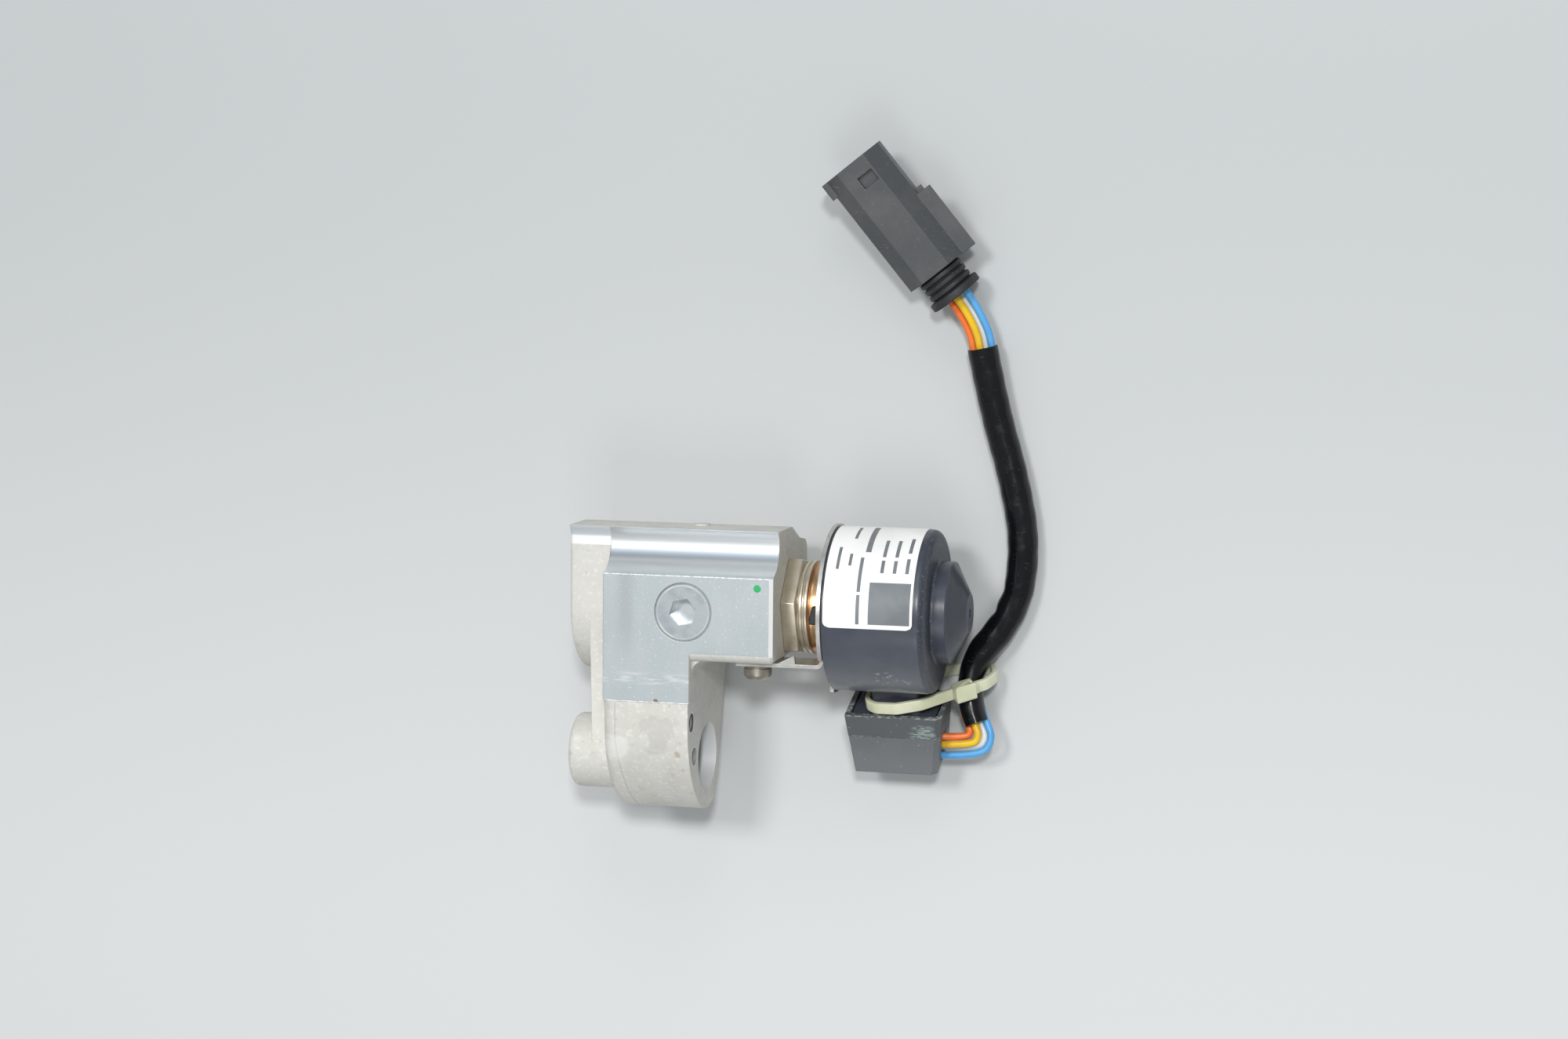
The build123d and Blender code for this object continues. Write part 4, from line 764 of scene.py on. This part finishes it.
class VALVE_OT_lead(bpy.types.Operator):
    """The vinyl sleeve, squeezed at the tie and at its mouth, and the four wires"""
    bl_idname = "valve.lead"
    bl_label = "Lead"

    def execute(self, context):
        path = route_points("sleeve_route", SLEEVE_ROUTE)
        columns = 64
        turn = np.linspace(0, 2 * np.pi, columns, endpoint=False)[None, :]
        s = path_reach(path)[:, None]
        # The tube is flattened near its mouth and creased where it turns away from the tie
        flat = np.exp(-(s / 9.0) ** 2)
        pinch = np.exp(-((s - 10.5) / 4.0) ** 2)
        crease = np.exp(-((s - 24.0) / 1.1) ** 2) + 0.8 * np.exp(-((s - 29.5) / 1.3) ** 2)
        from_inside = np.mod(turn - math.radians(185) + np.pi, 2 * np.pi) - np.pi
        inner = np.exp(-(from_inside / 0.55) ** 2)
        radius = SLEEVE_D / 2
        wide = radius * (1 - 0.2 * flat - 0.12 * pinch - 0.16 * crease * inner
                         + 0.012 * np.sin(s * 1.3 + 2 * turn))
        deep = radius * (1 + 0.1 * flat - 0.05 * pinch + 0.01 * np.sin(s * 0.9 - turn))
        section = np.stack((wide * np.cos(turn), deep * np.sin(turn)), axis=-1)
        # The wall turns in at both ends and is closed along the first rows inside
        wall = 0.45
        inner_rows = 12
        bore = section * ((radius - wall) / radius)
        path_all = np.concatenate((path[inner_rows::-1], path, path[:-inner_rows - 2:-1]))
        sections = np.concatenate((bore[inner_rows::-1], section, bore[:-inner_rows - 2:-1]))
        side, normal = path_frames(path)
        order = np.concatenate((np.arange(inner_rows, -1, -1), np.arange(len(path)),
                                np.arange(len(path) - 1, len(path) - inner_rows - 2, -1)))
        points = (path_all[:, None] + sections[..., :1] * side[order][:, None]
                  + sections[..., 1:] * normal[order][:, None])
        sleeve = mesh_piece("sleeve", points, grid_faces(len(points), columns),
                            MATERIALS["sleeve_vinyl"], sharp=60.0)
        settle(sleeve, "sleeve_vinyl", "lead_sleeve")
        steps, inside = 24, 3.0
        ring = np.linspace(0, 2 * np.pi, steps, endpoint=False)[None, :, None]
        round_section = WIRE_R * np.concatenate((np.cos(ring), np.sin(ring)), axis=-1)
        for colour, wire in WIRES.items():
            for end, line in zip(("box", "plug"), wire_routes(*wire)):
                tail = line[-1] + unit(line[-1] - line[-2]) * inside
                points = route_points("wire_route", [*line, tail], 16)
                piece = carried(f"wire_{colour}_{end}", points,
                                np.repeat(round_section, len(points), axis=0),
                                MATERIALS["wire_" + colour])
                settle(piece, "wire_" + colour, "wire_" + colour)
        return {"FINISHED"}


class VALVE_OT_block(bpy.types.Operator):
    """The cast block with its machined pad, and the paint dot"""
    bl_idname = "valve.block"
    bl_label = "Valve block"

    def execute(self, context):
        dressed_copy("valve_block", "cast_aluminium")
        radius = context.scene.valve.dot_radius / MM
        profile = eased([(0.0, 0.0), (0.0, radius), (0.06, radius * 0.8), (0.07, 0.0)], 0.02)
        dot = lathe("paint_dot", profile, MATERIALS["paint_green"],
                    origin=np.array((13.9, 36.5, FACE_Z)), axis=UP, side=ALONG, steps=32)
        settle(dot, "cast_aluminium")
        return {"FINISHED"}


class VALVE_OT_fittings(bpy.types.Operator):
    """The service plug, the cartridge, the can, the bracket and its screw"""
    bl_idname = "valve.fittings"
    bl_label = "Metal fittings"

    def execute(self, context):
        for name, slot in (("service_plug", "machined_aluminium"),
                           ("coil_bracket", "bracket_steel"), ("bracket_screw", "screw_steel"),
                           ("spring_washer", "screw_steel")):
            dressed_copy(name, slot)
        # The cartridge's thread and nose in the block, its hexagon and its stepped collar
        brass = MATERIALS["nickel_plated_brass"]
        profile = eased([(2.5, 3.9), (2.5, 5.95), (6.5, 5.95), (6.5, 7.95), (17.0, 7.95),
                         (17.0, 8.9), (HEX_END + 0.25, 8.9), (HEX_END + 0.25, 9.35),
                         (HEX_END + 0.9, 9.35), (HEX_END + 1.0, 9.05), (HEX_END + 1.25, 9.05),
                         (HEX_END + 1.3, 9.5), (COLLAR_END, 9.5), (COLLAR_END, 4.6),
                         (5.5, 4.6), (5.5, 3.9), (2.5, 3.9)],
                        [0, 0.3, 0, 0.4, 0, 0, 0.08, 0.25, 0.25, 0.05, 0.05, 0.25, 0.35,
                         0, 0, 0, 0], steps=5)
        settle(lathe("cartridge_turned", profile, brass), "nickel_plated_brass",
               "cartridge_body")
        corner = np.radians(HEX_TURN + 60.0 * np.arange(6))
        corner_r = HEX_AF / math.sqrt(3.0)
        outline = eased(np.stack((corner_r * np.cos(corner), corner_r * np.sin(corner)), axis=-1),
                        0.35, steps=5, closed=True)
        settle(prism("cartridge_hexagon", outline,
                     [(17.02, 0.35), (17.15, 0.1), (17.3, 0.0), (HEX_END - 0.35, 0.0),
                      (HEX_END - 0.12, 0.08), (HEX_END, 0.35)], brass, AXIS_POINT * (0, 1, 1),
                     ACROSS, UP, sharp=50.0), "nickel_plated_brass", "cartridge_body")
        # The bracket's small lug beside the arm's end, and the stop on the can, its black rubber a
        # painted shade
        lug = prism("bracket_lug", [(17.4, 21.32), (20.9, 21.32), (20.7, 23.0)],
                    [(10.3, 0.0), (11.1, 0.0)], MATERIALS["bracket_steel"], (0, 0, 0), ALONG,
                    ACROSS)
        settle(lug, "bracket_steel")
        outline = eased([(22.7, 28.9), (25.85, 28.9), (25.85, 32.6), (23.5, 32.6)], 0.5,
                        closed=True)
        stop = prism("can_stop", outline, [(6.2, 0.0), (8.0, 0.0), (8.3, 0.25)],
                     MATERIALS["boot_rubber"], (0, 0, 0), ALONG, ACROSS)
        settle(stop, "coil_plastic")
        # The can from inside the collar, with its weld's bead, to its closed end
        start, bore, inner_end = 20.8, CAN_R - CAN_WALL, CAN_END - CAN_WALL
        profile = eased([(start, bore), (COLLAR_END, bore), (COLLAR_END, CAN_R),
                         (COLLAR_END + 0.15, CAN_R + 0.2), (COLLAR_END + 0.5, CAN_R + 0.05),
                         (COLLAR_END + 0.9, CAN_R), (CAN_END, CAN_R), (CAN_END, 0.0),
                         (inner_end, 0.0), (inner_end, bore), (start, bore)],
                        [0, 0, 0.1, 0.2, 0.4, 0.4, 2.0, 0, 0, 1.6, 0])
        settle(lathe("rotor_can_drawn", profile, MATERIALS["can_steel"]), "can_steel",
               "rotor_can")
        return {"FINISHED"}


class VALVE_OT_coil(bpy.types.Operator):
    """The moulded coil with its nose, neck and terminal base, and the box below it"""
    bl_idname = "valve.coil"
    bl_label = "Coil and terminal box"

    def execute(self, context):
        plastic = MATERIALS["coil_plastic"]
        profile = eased([(26.72, 9.4), (26.72, COIL_R), (47.3, COIL_R), (47.3, 10.25),
                         (50.3, 10.25), (53.6, 3.9), (53.6, 0.9), (52.6, 0.9), (52.6, 0.0)],
                        [0, 0.25, 2.0, 0.5, 0.45, 0.3, 0.1, 0, 0], steps=9)
        settle(lathe("coil_body", profile, plastic), "coil_plastic", "coil_housing")
        for name, width, depth, front, near, far, bend, shift in (
                ("coil_neck", 9.8, 9.0, 4.3, 15.4, 21.4, 1.2, 0.35),
                ("coil_base", 16.6, 9.9, 4.95, 21.3, 25.2, 1.0, 0.0)):
            back = front - depth
            outline = eased([(-width / 2, back), (width / 2, back), (width / 2, front),
                             (-width / 2, front)], bend, closed=True)
            levels = [(near, 0.3), (near + 0.1, 0.08), (near + 0.3, 0), (far - 0.3, 0),
                      (far - 0.1, 0.08), (far, 0.3)]
            piece = prism(name, outline * (1, -1), [(-d, i) for d, i in levels][::-1], plastic,
                          AXIS_POINT + ALONG * (BOX_MID_X + shift), ALONG, -BOX_FRONT)
            settle(piece, "coil_plastic", "coil_housing")
        dressed_copy("terminal_cover", "cover_plastic")
        dressed_copy("potting_block", "potting_resin")
        return {"FINISHED"}


class VALVE_OT_label(bpy.types.Operator):
    """The white label round the coil, with plain bars in place of its print"""
    bl_idname = "valve.label"
    bl_label = "Label"

    def execute(self, context):
        settings = context.scene.valve
        left, right = 27.2, 45.1
        radius, thick, corner = COIL_R + 0.01, 0.12, 1.2
        low, high = settings.label_low, settings.label_turn
        rows, columns = 96, 40
        u = np.linspace(-1, 1, rows)[:, None]
        v = np.linspace(-1, 1, columns)[None, :]
        half_arc = radius * (high - low) / 2
        # Near its ends the label narrows by the corner circle's own formula
        reach = np.maximum(np.abs(u) * half_arc - (half_arc - corner), 0.0)
        half_width = (right - left) / 2 - corner + np.sqrt(np.maximum(corner ** 2 - reach ** 2, 0))
        x = (left + right) / 2 + v * half_width
        angle = np.broadcast_to(low + (u + 1) / 2 * (high - low), x.shape)
        shells = [np.stack((x, AXIS_Y + r * np.sin(angle), AXIS_Z + r * np.cos(angle)), axis=-1)
                  for r in (radius, radius + thick)]
        points = np.concatenate([s.reshape(-1, 3) for s in shells])
        count = rows * columns
        faces = grid_faces(rows, columns, around=False)
        faces += [f[::-1] for f in grid_faces(rows, columns, around=False, start=count)]
        rim = np.concatenate((np.arange(columns), np.arange(1, rows) * columns + columns - 1,
                              count - 2 - np.arange(columns - 1),
                              np.arange(rows - 2, 0, -1) * columns))
        following = np.roll(rim, -1)
        faces += np.stack((rim, following, following + count, rim + count), axis=1).tolist()
        label = mesh_piece("label_film", points, faces, MATERIALS["label_film"], sharp=60.0)
        settle(label, "label_film", "rating_label")

        # Bars of print: (left, right, lower angle, upper angle) in mm and degrees
        bars = [(29.1, 29.7, 35, 54), (31.5, 32.1, 38, 48), (31.5, 32.1, 64, 84),
                (33.8, 34.5, -3, 17), (33.8, 34.5, 19, 45), (34.5, 35.6, 50, 86),
                (38.1, 38.8, 33, 43), (38.1, 38.8, 46, 63), (40.6, 41.3, 33, 43),
                (40.6, 41.3, 46, 63), (43.1, 43.8, 33, 45), (43.1, 43.8, 50, 66),
                (36.3, 44.6, -2.9, 26.0)]
        print_r = radius + thick + 0.015
        steps = 24
        bars = np.array(bars, dtype=float)
        t = np.linspace(0, 1, steps)[None, :, None]
        a = np.radians(bars[:, 2, None, None] * (1 - t) + bars[:, 3, None, None] * t)
        s = np.array((0.0, 1.0))[None, None, :]
        x = bars[:, 0, None, None] * (1 - s) + bars[:, 1, None, None] * s
        x, a = np.broadcast_arrays(x, a)
        points = np.stack((x, AXIS_Y + print_r * np.sin(a), AXIS_Z + print_r * np.cos(a)), axis=-1)
        faces = sum((grid_faces(steps, 2, around=False, start=i * steps * 2)
                     for i in range(len(bars))), [])
        settle(mesh_piece("label_bars", points, faces, MATERIALS["label_print"]), "label_film")
        return {"FINISHED"}


class VALVE_OT_tie(bpy.types.Operator):
    """The nylon tie round the neck and the sleeve"""
    bl_idname = "valve.tie"
    bl_label = "Cable tie"

    def execute(self, context):
        # The band's outline lies in a plane tilted from the box's, as (along, front) in mm
        tilt = math.radians(5.0)
        up = BOX_OUT * math.cos(tilt) + ALONG * math.sin(tilt)
        along = ALONG * math.cos(tilt) - BOX_OUT * math.sin(tilt)
        front = np.cross(up, along)
        middle = AXIS_POINT + ALONG * BOX_MID_X + BOX_OUT * 19.2
        outline = np.array([(-6.2, -5.2), (-6.2, 3.8), (-3.8, 5.9), (1.0, 6.6), (6.0, 5.0),
                            (12.0, 0.4), (18.0, -3.2), (19.6, -6.8), (18.4, -11.1),
                            (13.2, -11.5), (8.5, -11.2), (-3.2, -7.8)])
        line = eased(outline, 3.2, steps=10, closed=True)
        forward = unit(np.roll(line, -1, axis=0) - np.roll(line, 1, axis=0))
        inward = np.stack((forward[:, 1], -forward[:, 0]), axis=1)
        band = eased([(0.0, -1.2), (1.1, -1.2), (1.1, 1.2), (0.0, 1.2)], 0.3, steps=4, closed=True)
        flat = line[:, None] + inward[:, None] * band[None, :, :1]
        points = (middle + flat[..., :1] * along + flat[..., 1:] * front
                  + band[None, :, 1:] * up)
        finish = MATERIALS["tie_nylon"]
        settle(mesh_piece("tie_band", points, grid_faces(*points.shape[:2], closed=True), finish,
                          sharp=50.0), "tie_nylon", "cable_tie")
        # The ratchet head, its notch and the trimmed tail
        turn = math.radians(-34.0)
        head_x = along * math.cos(turn) + front * math.sin(turn)
        head_y = -along * math.sin(turn) + front * math.cos(turn)
        head = middle + along * 13.8 + front * 0.15
        outline = eased([(-2.2, -1.5), (2.2, -1.5), (2.2, -0.2), (1.5, 0.1), (1.5, 0.8),
                         (2.2, 1.1), (2.2, 1.5), (-2.2, 1.5)], 0.25, steps=4, closed=True)
        levels = [(-2.3, 0.3), (-2.1, 0.08), (-1.9, 0.0), (0.9, 0.0), (1.2, 0.1), (1.3, 0.3)]
        settle(prism("tie_head", outline, levels, finish, head, head_x, head_y, sharp=50.0),
               "tie_nylon", "cable_tie")
        tail = eased([(2.1, -1.2), (3.3, -1.1), (3.4, -0.1), (2.1, 0.0)], 0.2, steps=4,
                     closed=True)
        settle(prism("tie_tail", tail, [(-1.1, 0.15), (-0.95, 0.0), (0.95, 0.0), (1.1, 0.15)],
                     finish, head, head_x, head_y, sharp=50.0), "tie_nylon")
        return {"FINISHED"}


class VALVE_OT_plug(bpy.types.Operator):
    """The plug's shell and its ribbed boot"""
    bl_idname = "valve.plug"
    bl_label = "Plug"

    def execute(self, context):
        dressed_copy("plug_housing", "plug_plastic", "plug_shell")
        flange, rib, root, start = 5.7, 4.9, 4.2, 6.3
        profile = [(0.6, 0.0), (0.6, 3.2), (0.0, 3.6), (0.0, flange), (1.5, flange), (1.8, root)]
        for i in range(3):
            at = 1.9 + 1.5 * i
            profile += [(at + 0.15, rib), (at + 0.95, rib), (at + 1.25, root)]
        profile += [(start, root), (start, 0.0)]
        boot = lathe("plug_boot_ribbed", eased(profile, 0.25, steps=5), MATERIALS["boot_rubber"],
                     PLUG_END, PLUG_AXIS, PLUG_SIDE, steps=64)
        settle(boot, "boot_rubber", "plug_boot")
        return {"FINISHED"}


class VALVE_OT_inner(bpy.types.Operator):
    """Finishes for the pieces inside, which keep their CAD shape"""
    bl_idname = "valve.inner"
    bl_label = "Inner pieces"

    def execute(self, context):
        slots = {entry["node"]: entry["material_slot"] for entry in frame["record"]["subparts"]}
        for name, holder in frame["nodes"].items():
            finish = MATERIALS.get(slots.get(name))
            if finish is None:
                continue
            if not holder.material_slots:
                holder.data.materials.append(finish)
            for place in holder.material_slots:
                place.material = finish
        return {"FINISHED"}


class VALVE_PT_panel(bpy.types.Panel):
    """Lists the valve's pieces"""
    bl_idname = "VALVE_PT_panel"
    bl_label = "Expansion valve"
    bl_space_type = "VIEW_3D"
    bl_region_type = "UI"
    bl_category = "Valve"

    def draw(self, context):
        settings = context.scene.valve
        for name in ("label_turn", "label_low", "dot_radius", "floor_colour"):
            self.layout.prop(settings, name)
        for operator in OPERATORS:
            self.layout.operator(operator.bl_idname)


OPERATORS = (VALVE_OT_stage, VALVE_OT_inner, VALVE_OT_block, VALVE_OT_fittings, VALVE_OT_coil,
             VALVE_OT_label, VALVE_OT_tie, VALVE_OT_plug, VALVE_OT_lead)


def register():
    for kind in (ValveSettings, *OPERATORS, VALVE_PT_panel):
        bpy.utils.register_class(kind)
    bpy.types.Scene.valve = PointerProperty(type=ValveSettings)


def unregister():
    del bpy.types.Scene.valve
    for kind in (VALVE_PT_panel, *reversed(OPERATORS), ValveSettings):
        bpy.utils.unregister_class(kind)


def main():
    register()
    make_materials()
    for operator in OPERATORS:
        group, action = operator.bl_idname.split(".")
        getattr(getattr(bpy.ops, group), action)()


if __name__ == "__main__":
    main()
